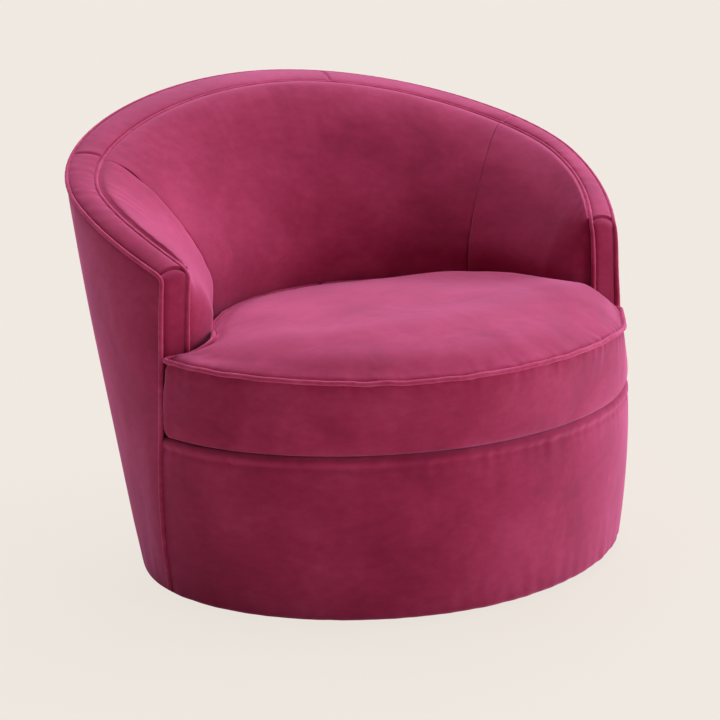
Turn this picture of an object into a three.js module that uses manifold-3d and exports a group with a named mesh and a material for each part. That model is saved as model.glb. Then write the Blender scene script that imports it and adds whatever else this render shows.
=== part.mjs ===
// Cuddle chair: a round swivel armchair covered in velvet, with a loose seat cushion.
// Lengths are in millimetres. X runs across the chair, Y from front to back and Z up.
// The origin is on the floor, under the middle of the chair's outline.
import * as THREE from "three";
import { mergeVertices } from "three/addons/utils/BufferGeometryUtils.js";
import Module from "manifold-3d";

const wasm = await Module();
wasm.setup();

// Overall size, over the welts.
const overallWidth = 1000;
const overallDepth = 908;
const backHeight = 780;
const armHeight = 556;

// Welts, and the fits between pieces.
const weltRadius = 3.5;
const cornerRadius = 12;
const seatGap = 0.4;
const clothGap = 1;
const runningGap = 0.5;
const boardGap = 1.5;
const overrun = 5;
const weldTolerance = 0.0005;
const diagonalTolerance = 0.02;

// Rim: the line of the outer welt, an oval with a deeper front half, cut off at the arms.
const rimBackShare = 0.3844;
const rimFrontShare = 0.5628;
const rimPower = 1.94;
const armFrontShare = -0.147;
const armClimbShare = 1.13;
const backClimbShare = 1.34;

// Band on top of the arms and back, between the outer and the inner welt.
const bandArmWidth = 43;
const bandBackWidth = 87;
const bandTaperPower = 2.6;
const innerFrontBack = 2.2;
const innerArmRise = 4;
const innerBackDrop = 8;
const innerArmClimbShare = 1.32;
const innerBackClimbShare = 1.79;
const bandThickness = 12;
const bandCrown = 6;

// Drum: the hem at the floor, the crease under the cushion and the cushion's piping.
const drumPower = 1.92;
const hemHeight = 9;
const hemWidthShare = 0.447;
const hemDepthShare = 0.3921;
const hemFrontShare = -0.1573;
const creaseHeight = 290;
const creaseWidthShare = 0.458;
const creaseDepthShare = 0.3811;
const pipingHeight = 421;
const pipingWidthShare = 0.45;
const pipingDepthShare = 0.4042;

// Outside covers: velvet over board, tucked under the frame.
const skinThickness = 3.5;
const skinInset = 1;
const tuckRadius = 10;
const tuckLip = 40;
const wallBow = 8;
const bowShare = 2.6;
const rowPower = 1.5;
const drumBulge = 8;
const deckBorder = 38;
const lipRadius = 7;

// Tub: the line of the inside pads at their fullest, just above the cushion.
const tubWidthShare = 0.345;
const tubDepthShare = 0.3855;
const tubForward = 24.5;
const tubEndTurn = THREE.MathUtils.degToRad(85);
const tubHeight = 470;
const padCrown = 9;
const padUndercut = 14;
const padRollLength = 52;
const padGroove = 4;
const rollShares = [1, 0.72, 0.46, 0.26, 0.12, 0.03, 0];
const rollStartShare = 0.3;
const rollEndShare = 0.7;
const seamShare = 0.56;
const seamDepth = 5;

// Frame of plywood and hardwood.
const frameInset = 9;
const bottomRingThickness = 25;
const bottomRingWidth = 76;
const seatRingHeight = 235;
const seatRingThickness = 22;
const seatRingSideMargin = 26;
const seatRingEndMargin = 20;
const seatRingWidth = 80;
const railThickness = 25;
const slatDepth = 22;
const slatWidth = 50;
const slatShares = [-0.6, -0.3, 0, 0.3, 0.6];
const postDepth = 27;
const postWidth = 42;
const frontPostShares = [-0.62, 0, 0.62];
const boardThickness = 18;
const boardWidth = 250;
const boardCornerRadius = 20;
const boardEndMargin = 5;
const linerThickness = 3;
const linerSetback = 60;
const facingThickness = 7;
const facingDrop = 4;

// Springs and deck under the cushion.
const springCount = 5;
const springPitch = 105;
const springHalfWidth = 20;
const springLegPitch = 30;
const springBearing = 6;
const wireRadius = 1.8;
const deckMargin = 4;
const dustCoverThickness = 1.5;
const dustCoverMargin = 8;

// Seat cushion.
const cushionLiftGap = 4;
const cushionCrown = 45;
const crownRun = 100;
const sideCrownRun = 80;
const backCrownRun = 200;
const sideFullness = 2.4;
const sideFullnessPower = 3;
const earFullness = -0.25;
const crownRows = [
  { run: 0.09, rise: 0.22 },
  { run: 0.25, rise: 0.5 },
  { run: 0.54, rise: 0.77 },
  { run: 1, rise: 0.94 },
];
const middleRows = [
  { scale: 0.7, rise: 0.985 },
  { scale: 0.3, rise: 1 },
];
const cushionDrawIn = 4;
const boxingBulge = 3;
const wrapThickness = 8;
const coreShare = 0.985;
const earGap = 5;
const earRadius = 8;
const zipHalfTurn = THREE.MathUtils.degToRad(38);
const zipHeight = 5;
const zipDepth = 2;
const zipRise = 38;

// Swivel: floor disc on glides, two steel plates with pressed ball tracks, and a king pin.
const glideRadius = 15;
const glideHeight = 5;
const glideBevel = 1.5;
const glideCount = 6;
const glideMargin = 26;
const discInset = 106;
const discThickness = 15;
const discBevel = 2;
const plateSide = 190;
const plateThickness = 3;
const plateCornerRadius = 14;
const plateHoleMargin = 17;
const trackRadius = 53;
const trackHalfWidth = 10;
const trackHeight = 5;
const ballGap = 1;
const trackSpacing = 3.6;
const ballRadius = 5;
const ballCount = 14;
const cageThickness = 1.6;
const cageHalfWidth = 7;
const pinRadius = 6;
const pinHeadRadius = 12;
const pinHeadHeight = 3;
const pinClearance = 6;
const screwRadius = 2.6;
const screwHoleRadius = 3.2;
const screwHeadRadius = 5.5;
const screwHeadHeight = 3;
const screwLength = 12;

// How finely curves are cut into faces.
const wallSteps = 36;
const wallRows = 4;
const cornerSteps = 3;
const notchSteps = 5;
const drumSteps = 24;
const ovalSteps = 48;
const roundSteps = 24;
const smallSteps = 8;
const weltSides = 6;
const wireSides = 4;

// Places worked out from the sizes above. A width share is a half width over the overall width,
// and a depth share a half depth or a place over the overall depth.
const rimHalfWidth = overallWidth / 2 - weltRadius;
const rimBackDepth = overallDepth * rimBackShare;
const rimFrontDepth = overallDepth * rimFrontShare;
const rimCentreY = overallDepth / 2 - weltRadius - rimBackDepth;
const armFrontY = overallDepth * armFrontShare;
const innerFrontY = armFrontY + innerFrontBack;
const innerArmHeight = armHeight + innerArmRise;
const innerBackHeight = backHeight - innerBackDrop;
const hemHalfWidth = overallWidth * hemWidthShare;
const hemHalfDepth = overallDepth * hemDepthShare;
const hemFrontY = overallDepth * hemFrontShare;
const creaseHalfWidth = overallWidth * creaseWidthShare;
const creaseHalfDepth = overallDepth * creaseDepthShare;
const pipingHalfWidth = overallWidth * pipingWidthShare;
const pipingHalfDepth = overallDepth * pipingDepthShare;
const drumCentreY = pipingHalfDepth + weltRadius - overallDepth / 2;
const tubHalfWidth = overallWidth * tubWidthShare;
const tubHalfDepth = overallDepth * tubDepthShare;
const tubCentreY = armFrontY - tubForward;
const discRadius = hemHalfDepth - discInset;
const weltGap = weltRadius + clothGap;
const frameBase = hemHeight + skinThickness + seatGap;
const bottomRingTop = frameBase + bottomRingThickness;
const seatRingTop = seatRingHeight + seatRingThickness;
const deckUnderside = seatRingTop + 2 * (wireRadius + seatGap);

// An oval in plan. The turn is measured from the back, and power 2 makes it an ellipse.
function ovalPoint(turn, halfWidth, halfDepth, centreY, height, power = 2) {
  const round = (value) => Math.sign(value) * Math.abs(value) ** (2 / power);
  return new THREE.Vector3(
    halfWidth * round(Math.sin(turn)),
    centreY + halfDepth * round(Math.cos(turn)),
    height,
  );
}

// The turn at which an oval reaches a given Y on its right side.
function turnAt(y, halfDepth, centreY, power = 2) {
  const reach = (y - centreY) / halfDepth;
  return Math.acos(Math.sign(reach) * Math.abs(reach) ** (power / 2));
}

// A smooth climb from 0 to 1 with a given steepness at each end.
function climb(share, startShare, endShare) {
  const start = (startShare - 1) * share * (1 - share) ** 2;
  const end = (endShare - 1) * share ** 2 * (1 - share);
  return share + start - end;
}

function rimOval(turn, inset) {
  const depth = Math.cos(turn) > 0 ? rimBackDepth : rimFrontDepth;
  return ovalPoint(turn, rimHalfWidth - inset, depth - inset, rimCentreY, 0, rimPower);
}

// The lines of the wall. Side runs from -1 at the left arm's front, through 0 in the middle
// of the back, to 1 at the right arm's front.
const rimEndTurn = turnAt(armFrontY, rimFrontDepth, rimCentreY, rimPower);
const innerFrontDepth = rimFrontDepth - bandArmWidth;
const innerEndTurn = turnAt(innerFrontY, innerFrontDepth, rimCentreY, rimPower);
const hemEndTurn = turnAt(hemFrontY, hemHalfDepth, drumCentreY, drumPower);

function rimLine(side) {
  const point = rimOval(side * rimEndTurn, 0);
  const share = (point.y - armFrontY) / (rimCentreY + rimBackDepth - armFrontY);
  const rise = climb(share, armClimbShare, backClimbShare);
  return point.setZ(armHeight + (backHeight - armHeight) * rise);
}

function bandWidth(side) {
  const taper = Math.abs(Math.cos((side * Math.PI) / 2)) ** bandTaperPower;
  return bandArmWidth + (bandBackWidth - bandArmWidth) * taper;
}

function innerRimLine(side) {
  const point = rimOval(side * innerEndTurn, bandWidth(side));
  const backY = rimCentreY + rimBackDepth - bandBackWidth;
  const share = (point.y - innerFrontY) / (backY - innerFrontY);
  const rise = climb(share, innerArmClimbShare, innerBackClimbShare);
  return point.setZ(innerArmHeight + (innerBackHeight - innerArmHeight) * rise);
}

function hemLine(side) {
  const turn = side * hemEndTurn;
  return ovalPoint(turn, hemHalfWidth, hemHalfDepth, drumCentreY, hemHeight, drumPower);
}

function tubLine(side, inset = 0) {
  const turn = side * tubEndTurn;
  return ovalPoint(turn, tubHalfWidth - inset, tubHalfDepth - inset, tubCentreY, tubHeight);
}

// The level direction from the outside of the wall to its inside.
function inward(side) {
  return innerRimLine(side).sub(rimLine(side)).setZ(0).normalize();
}

// A point at a height, and a depth inside the face of the outer cover, which bows out a little,
// most of all under the rim.
function wallPoint(side, height, depth) {
  const foot = hemLine(side);
  const top = rimLine(side);
  const share = (height - foot.z) / (top.z - foot.z);
  const bow = wallBow * bowShare * share * Math.sqrt(Math.max(0, 1 - share));
  return foot.lerp(top, share).addScaledVector(inward(side), depth - bow);
}

// The height a given drop below the band's chord, at a depth from the outer welt.
function bandHeight(side, depth, drop) {
  const outer = rimLine(side);
  const inner = innerRimLine(side);
  const width = Math.hypot(inner.x - outer.x, inner.y - outer.y);
  return outer.z + ((inner.z - outer.z) * depth) / width - drop;
}

function underBand(side, depth, drop) {
  return wallPoint(side, bandHeight(side, depth, drop), depth);
}

// Points down the wall between two heights, closer together near the top.
function wallRun(side, high, low, depth) {
  return stations(0, 1, wallRows).map((share) =>
    wallPoint(side, high + (low - high) * share ** rowPower, depth),
  );
}

function stations(from, to, count) {
  return Array.from({ length: count + 1 }, (_, i) => from + ((to - from) * i) / count);
}

// How far the hem runs for a whole side, going by its last stretch before the arm's front.
const lastShare = 0.99;
const hemPace = hemLine(1).distanceTo(hemLine(lastShare)) / (1 - lastShare);

// The seat ring lies a margin inside the drum in front and the wall at the back.
const ringShare = (seatRingHeight - hemHeight) / (creaseHeight - hemHeight);
const drumWidthThere = hemHalfWidth + (creaseHalfWidth - hemHalfWidth) * ringShare;
const drumDepthThere = hemHalfDepth + (creaseHalfDepth - hemHalfDepth) * ringShare;
const seatRingHalfWidth = drumWidthThere - seatRingSideMargin;
const seatRingFrontY = drumCentreY - drumDepthThere + seatRingEndMargin;
const seatRingBackY = wallPoint(0, seatRingHeight, seatRingEndMargin).y;
const seatRingHalfDepth = (seatRingBackY - seatRingFrontY) / 2;
const seatRingCentreY = (seatRingBackY + seatRingFrontY) / 2;
const skinEnd = 1 - weltGap / hemPace;
const frameEnd = 1 - (facingThickness + boardGap) / hemPace;
const frameStations = stations(-frameEnd, frameEnd, wallSteps);
const skinStations = [-skinEnd, ...frameStations, skinEnd];
const rollEndY = innerFrontY + facingThickness + padRollLength;

// The sides where the sections of the inside pads stand, and of the liner behind them.
const seamHalf = clothGap / hemPace;
const backPadEnd = seamShare - seamHalf;
const armPadStart = seamShare + seamHalf;
const rollStart = frameEnd - padRollLength / hemPace;
const backPadSides = [
  -backPadEnd,
  ...frameStations.filter((side) => Math.abs(side) < backPadEnd),
  backPadEnd,
];
const armPadSides = [
  armPadStart,
  ...frameStations.filter((side) => side > armPadStart && side < rollStart),
  ...rollShares.map((share) => frameEnd - share * (frameEnd - rollStart)),
];
const leftPadSides = armPadSides.map((side) => -side).reverse();
const linerSides = [...leftPadSides, ...backPadSides, ...armPadSides];
const armWidth = innerRimLine(1).distanceTo(rimLine(1));
const linerDepth = armWidth - weltGap - linerThickness;

// A closed solid through rings that have the same number of points. Each face is cut along its
// shorter diagonal. Equal ones turn over halfway along, so that left and right are the same.
function loft(rings, joined = false) {
  const triangles = [];
  const count = rings[0].length;
  const bays = joined ? rings.length : rings.length - 1;
  for (let i = 0; i < bays; i++) {
    const here = rings[i];
    const next = rings[(i + 1) % rings.length];
    for (let j = 0; j < count; j++) {
      const k = (j + 1) % count;
      const longer = here[j].distanceTo(next[k]) - here[k].distanceTo(next[j]);
      const tie = Math.abs(longer) < diagonalTolerance;
      const forward = tie ? i < bays / 2 : longer < 0;
      const [near, far] = forward ? [here[j], next[k]] : [here[k], next[j]];
      triangles.push(here[j], here[k], far);
      triangles.push(near, next[k], next[j]);
    }
  }
  if (!joined) {
    triangles.push(...cap(rings[0], -1));
    triangles.push(...cap(rings[rings.length - 1], 1));
  }
  return facingOut(triangles);
}

// The triangles that close a ring, facing along its normal or against it.
function cap(ring, way) {
  const normal = new THREE.Vector3();
  ring.forEach((point, i) => {
    normal.add(point.clone().cross(ring[(i + 1) % ring.length]));
  });
  normal.normalize();
  const across = ring[1].clone().sub(ring[0]).projectOnPlane(normal).normalize();
  const along = normal.clone().cross(across);
  const flat = ring.map((point) => new THREE.Vector2(point.dot(across), point.dot(along)));
  return THREE.ShapeUtils.triangulateShape(flat, []).flatMap(([a, b, c]) => {
    const turn = flat[b].clone().sub(flat[a]).cross(flat[c].clone().sub(flat[a]));
    return turn * way > 0 ? [ring[a], ring[b], ring[c]] : [ring[a], ring[c], ring[b]];
  });
}

function facingOut(triangles) {
  let volume = 0;
  for (let i = 0; i < triangles.length; i += 3) {
    volume += triangles[i].dot(triangles[i + 1].clone().cross(triangles[i + 2]));
  }
  if (volume < 0) {
    triangles.reverse();
  }
  const geometry = new THREE.BufferGeometry().setFromPoints(triangles);
  geometry.computeVertexNormals();
  return geometry;
}

// A tube that bends smoothly through its points, with one ring of faces at each.
function tube(points, radius, sides) {
  const path = new THREE.CatmullRomCurve3(points);
  path.getUtoTmapping = (share) => share;
  const section = new THREE.Shape(
    stations(0, 2 * Math.PI, sides)
      .slice(1)
      .map((turn) => new THREE.Vector2(radius * Math.cos(turn), radius * Math.sin(turn))),
  );
  return new THREE.ExtrudeGeometry(section, {
    steps: points.length - 1,
    extrudePath: path,
    bevelEnabled: false,
  });
}

// A turned solid about the swivel's axis. The profile is a list of [radius, height].
function turned(profile, steps = roundSteps) {
  const points = profile.map(([radius, height]) => new THREE.Vector2(radius, height));
  return new THREE.LatheGeometry([...points, points[0].clone()], steps).rotateX(Math.PI / 2);
}

// A plate lying level, from an outline, with its underside at a height.
function plate(outline, thickness, height) {
  const geometry = new THREE.ExtrudeGeometry(outline, {
    depth: thickness,
    bevelEnabled: false,
    curveSegments: 4,
  });
  return geometry.translate(0, 0, height);
}

function roundedRectangle(width, depth, radius) {
  const x = width / 2;
  const y = depth / 2;
  const shape = new THREE.Shape();
  shape.moveTo(radius - x, -y);
  shape.lineTo(x - radius, -y);
  shape.absarc(x - radius, radius - y, radius, -Math.PI / 2, 0);
  shape.lineTo(x, y - radius);
  shape.absarc(x - radius, y - radius, radius, 0, Math.PI / 2);
  shape.lineTo(radius - x, y);
  shape.absarc(radius - x, y - radius, radius, Math.PI / 2, Math.PI);
  shape.lineTo(-x, radius - y);
  shape.absarc(radius - x, radius - y, radius, Math.PI, 1.5 * Math.PI);
  return shape;
}

function toSolid(geometry) {
  const bare = new THREE.BufferGeometry();
  const faces = geometry.index ? geometry.toNonIndexed() : geometry;
  bare.setAttribute("position", faces.getAttribute("position").clone());
  const merged = mergeVertices(bare, weldTolerance);
  return new wasm.Manifold(
    new wasm.Mesh({
      numProp: 3,
      vertProperties: merged.getAttribute("position").array,
      triVerts: new Uint32Array(merged.index.array),
    }),
  );
}

function toGeometry(solid) {
  const mesh = solid.getMesh();
  const geometry = new THREE.BufferGeometry();
  geometry.setAttribute("position", new THREE.BufferAttribute(mesh.vertProperties, 3));
  geometry.setIndex(new THREE.BufferAttribute(mesh.triVerts, 1));
  return geometry.toNonIndexed();
}

function cut(geometry, tools) {
  return toGeometry(tools.reduce((solid, tool) => solid.subtract(toSolid(tool)), toSolid(geometry)));
}

function join(geometries) {
  return toGeometry(geometries.map(toSolid).reduce((solid, next) => solid.add(next)));
}

const finishes = {
  velvet: { color: 0xa8325f, roughness: 0.85, metalness: 0 },
  welt: { color: 0xb23a68, roughness: 0.8, metalness: 0 },
  plywood: { color: 0xc9a878, roughness: 0.7, metalness: 0 },
  hardwood: { color: 0xb98f5e, roughness: 0.65, metalness: 0 },
  board: { color: 0x8a6a48, roughness: 0.8, metalness: 0 },
  steel: { color: 0x9a9da1, roughness: 0.35, metalness: 1 },
  spring: { color: 0x5f6367, roughness: 0.4, metalness: 1 },
  foam: { color: 0xe9dfc4, roughness: 0.95, metalness: 0 },
  felt: { color: 0x5b5a5c, roughness: 0.95, metalness: 0 },
  nylon: { color: 0x1c1c1e, roughness: 0.5, metalness: 0 },
};

const chair = new THREE.Group();

function addPiece(name, geometry, finish) {
  const piece = new THREE.Mesh(geometry, new THREE.MeshStandardMaterial(finishes[finish]));
  piece.name = name;
  chair.add(piece);
  return piece;
}

// Swivel heights, from the floor up.
const discBase = glideHeight + seatGap;
const discTop = discBase + discThickness;
const lowerPlateBase = discTop + seatGap;
const lowerTrackTop = lowerPlateBase + plateThickness + trackHeight;
const ballHeight = lowerTrackTop + trackSpacing / 2;
const upperTrackBase = lowerTrackTop + trackSpacing;
const upperPlateTop = upperTrackBase + trackHeight + plateThickness;
const boardBase = Math.max(upperPlateTop, bottomRingTop) + seatGap;
const boardTop = boardBase + boardThickness;
const swivelY = drumCentreY;

function addSwivelPiece(name, geometry, finish) {
  addPiece(name, geometry, finish).position.set(0, swivelY, 0);
}

const boltPlaces = [-1, 1].flatMap((x) =>
  [-1, 1].map((y) => {
    const reach = plateSide / 2 - plateHoleMargin;
    return new THREE.Vector2(x * reach, y * reach);
  }),
);

function pin(radius, from, to) {
  return turned([[0, from], [radius, from], [radius, to], [0, to]], smallSteps);
}

function at(geometry, place) {
  return geometry.translate(place.x, place.y, 0);
}

function addSwivel() {
  const glide = [
    [0, 0],
    [glideRadius - glideBevel, 0],
    [glideRadius, glideBevel],
    [glideRadius, glideHeight],
    [0, glideHeight],
  ];
  for (let i = 0; i < glideCount; i++) {
    const place = new THREE.Vector2(0, discRadius - glideMargin);
    place.rotateAround(new THREE.Vector2(), ((i + 0.5) * 2 * Math.PI) / glideCount);
    addSwivelPiece(`glide_${i + 1}`, at(turned(glide, 2 * smallSteps), place), "nylon");
  }
  const pilotHoles = boltPlaces.map((place) =>
    at(pin(screwRadius + runningGap, discTop - screwLength, discTop + overrun), place),
  );
  const disc = turned([
    [0, discBase],
    [discRadius - discBevel, discBase],
    [discRadius, discBase + discBevel],
    [discRadius, discTop - discBevel],
    [discRadius - discBevel, discTop],
    [0, discTop],
  ], ovalSteps);
  const pinRecess = pin(pinHeadRadius + pinClearance, discBase - overrun, discTop + overrun);
  addSwivelPiece("floor_disc", cut(disc, [...pilotHoles, pinRecess]), "plywood");
  addSwivelPiece("bearing_lower_plate", trackPlate(lowerPlateBase, 1), "steel");
  addSwivelPiece("bearing_upper_plate", trackPlate(upperPlateTop, -1), "steel");
  addSwivelPiece("ball_cage", ballCage(), "steel");
  const pinTop = upperPlateTop + seatGap;
  const kingPin = turned([
    [0, lowerPlateBase - seatGap - pinHeadHeight],
    [pinHeadRadius, lowerPlateBase - seatGap - pinHeadHeight],
    [pinHeadRadius, lowerPlateBase - seatGap],
    [pinRadius, lowerPlateBase - seatGap],
    [pinRadius, pinTop],
    [pinHeadRadius, pinTop],
    [pinHeadRadius, pinTop + pinHeadHeight],
    [0, pinTop + pinHeadHeight],
  ], roundSteps / 2);
  addSwivelPiece("king_pin", kingPin, "steel");
  boltPlaces.forEach((place, i) => {
    const lower = screw(lowerPlateBase + plateThickness + seatGap, screwLength);
    addSwivelPiece(`lower_plate_screw_${i + 1}`, at(lower, place), "steel");
    const boltLength = boardThickness + plateThickness + 2 * seatGap;
    const upper = screw(boardTop + seatGap, boltLength);
    addSwivelPiece(`upper_plate_bolt_${i + 1}`, at(upper, place), "steel");
  });
}

// A screw with its head's underside at a height.
function screw(height, length) {
  return turned([
    [0, height - length],
    [screwRadius, height - length],
    [screwRadius, height],
    [screwHeadRadius, height],
    [screwHeadRadius, height + screwHeadHeight / 2],
    [screwHeadRadius / 2, height + screwHeadHeight],
    [0, height + screwHeadHeight],
  ], smallSteps);
}

// A square plate with a raised ball track. Way is 1 with the track on top and -1 below.
function trackPlate(back, way) {
  const outline = roundedRectangle(plateSide, plateSide, plateCornerRadius);
  const base = way > 0 ? back : back - plateThickness;
  const face = back + way * plateThickness;
  const top = face + way * trackHeight;
  const groove = ballRadius + ballGap;
  const edge = Math.acos(trackSpacing / 2 / groove);
  const arc = stations(-edge, edge, smallSteps / 2).map((turn) => [
    trackRadius + groove * Math.sin(turn),
    ballHeight - way * groove * Math.cos(turn),
  ]);
  const ridge = [
    [trackRadius - trackHalfWidth, back],
    [trackRadius - trackHalfWidth, top],
    ...arc,
    [trackRadius + trackHalfWidth, top],
    [trackRadius + trackHalfWidth, back],
  ];
  const body = join([plate(outline, plateThickness, base), turned(orderedRidge(ridge, way))]);
  const through = (radius) => pin(radius, base - overrun, base + plateThickness + overrun);
  const holes = boltPlaces.map((place) => at(through(screwHoleRadius), place));
  return cut(body, [...holes, through(pinRadius + runningGap)]);
}

function orderedRidge(ridge, way) {
  return way > 0 ? ridge.slice().reverse() : ridge;
}

// Balls held in a flat ring, as one piece.
function ballCage() {
  const low = ballHeight - cageThickness / 2;
  const high = ballHeight + cageThickness / 2;
  const ring = turned([
    [trackRadius - cageHalfWidth, low],
    [trackRadius + cageHalfWidth, low],
    [trackRadius + cageHalfWidth, high],
    [trackRadius - cageHalfWidth, high],
  ]);
  const balls = stations(0, 2 * Math.PI, ballCount)
    .slice(1)
    .map((turn) => {
      const ball = new THREE.SphereGeometry(ballRadius, 8, 6).rotateX(Math.PI / 2);
      const x = trackRadius * Math.cos(turn);
      return ball.translate(x, trackRadius * Math.sin(turn), ballHeight);
    });
  return join([ring, ...balls]);
}

// A point on the drum at a turn, a height and a depth inside its face.
function drumPoint(turn, height, depth) {
  const share = (height - hemHeight) / (creaseHeight - hemHeight);
  const swell = 4 * drumBulge * share * (1 - share);
  const halfWidth = hemHalfWidth + (creaseHalfWidth - hemHalfWidth) * share + swell - depth;
  const halfDepth = hemHalfDepth + (creaseHalfDepth - hemHalfDepth) * share + swell - depth;
  return ovalPoint(turn, halfWidth, halfDepth, drumCentreY, height, drumPower);
}

// The turn of a place across the front, from -1 at the left arm to 1 at the right.
function frontTurn(across) {
  return Math.PI - across * (Math.PI - hemEndTurn);
}

// The rounded tuck of an outside cover under the frame, as [depth, height] pairs.
function tuckProfile(thickness) {
  const centre = hemHeight + tuckRadius;
  const radius = tuckRadius - thickness;
  const arc = stations(0, Math.PI / 2, 4).map((turn) => [
    skinInset + tuckRadius - radius * Math.cos(turn),
    centre - radius * Math.sin(turn),
  ]);
  return [...arc, [skinInset + tuckRadius + tuckLip, hemHeight + thickness]];
}

function addOutsideCovers() {
  const outer = tuckProfile(0);
  const inner = tuckProfile(skinThickness).reverse();
  const backRings = skinStations.map((side) => {
    const corner = Math.abs(side) > frameEnd ? cornerRadius / 2 : 0;
    const top = bandHeight(side, 0, weltGap + clothGap + corner);
    const low = hemHeight + tuckRadius;
    return [
      ...wallRun(side, top, low, skinInset),
      ...outer.slice(1).map(([depth, height]) => wallPoint(side, height, depth)),
      ...inner.slice(0, -1).map(([depth, height]) => wallPoint(side, height, depth)),
      ...wallRun(side, top, low, skinInset + skinThickness).reverse(),
    ];
  });
  addPiece("outside_back", loft(backRings), "velvet");

  const frontEnd = 1 - (weltGap + clothGap) / (hemHalfWidth * (Math.PI - hemEndTurn));
  const lipTop = creaseHeight - seatGap;
  const faceShares = [0.78, 0.5, 0.25];
  const faceHeights = faceShares.map((share) => hemHeight + (creaseHeight - hemHeight) * share);
  const lip = [
    [skinInset + lipRadius + deckBorder, lipTop],
    [skinInset + lipRadius, lipTop],
    [skinInset + lipRadius * (1 - Math.SQRT1_2), lipTop - lipRadius * (1 - Math.SQRT1_2)],
    [skinInset, lipTop - lipRadius],
    ...faceHeights.map((height) => [skinInset, height]),
  ];
  const lipInside = [
    ...faceHeights.map((height) => [skinInset + skinThickness, height]).reverse(),
    [skinInset + skinThickness, lipTop - lipRadius],
    [skinInset + lipRadius, lipTop - skinThickness],
    [skinInset + lipRadius + deckBorder, lipTop - skinThickness],
  ];
  const profile = [...lip, ...outer, ...inner, ...lipInside];
  const frontRings = stations(-frontEnd, frontEnd, drumSteps).map((across) =>
    profile.map(([depth, height]) => drumPoint(frontTurn(across), height, depth)),
  );
  addPiece("front_panel", loft(frontRings), "velvet");
}

// A closed flat ring between two ovals, as rings of sections for a loft.
function ovalRing(section) {
  return loft(stations(0, 2 * Math.PI, ovalSteps).slice(1).map(section), true);
}

// A board standing in the wall between two sides, two depths and two heights.
function wallBoard(from, to, near, far, low, high) {
  const rings = stations(from, to, 2).map((side) => [
    wallPoint(side, low, near),
    wallPoint(side, low, far),
    underOrAt(side, high, far),
    underOrAt(side, high, near),
  ]);
  return loft(rings);
}

// A point under the band when the drop is below it, or at a plain height.
function underOrAt(side, { drop, height }, depth) {
  return drop === undefined ? wallPoint(side, height, depth) : underBand(side, depth, drop);
}

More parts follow.
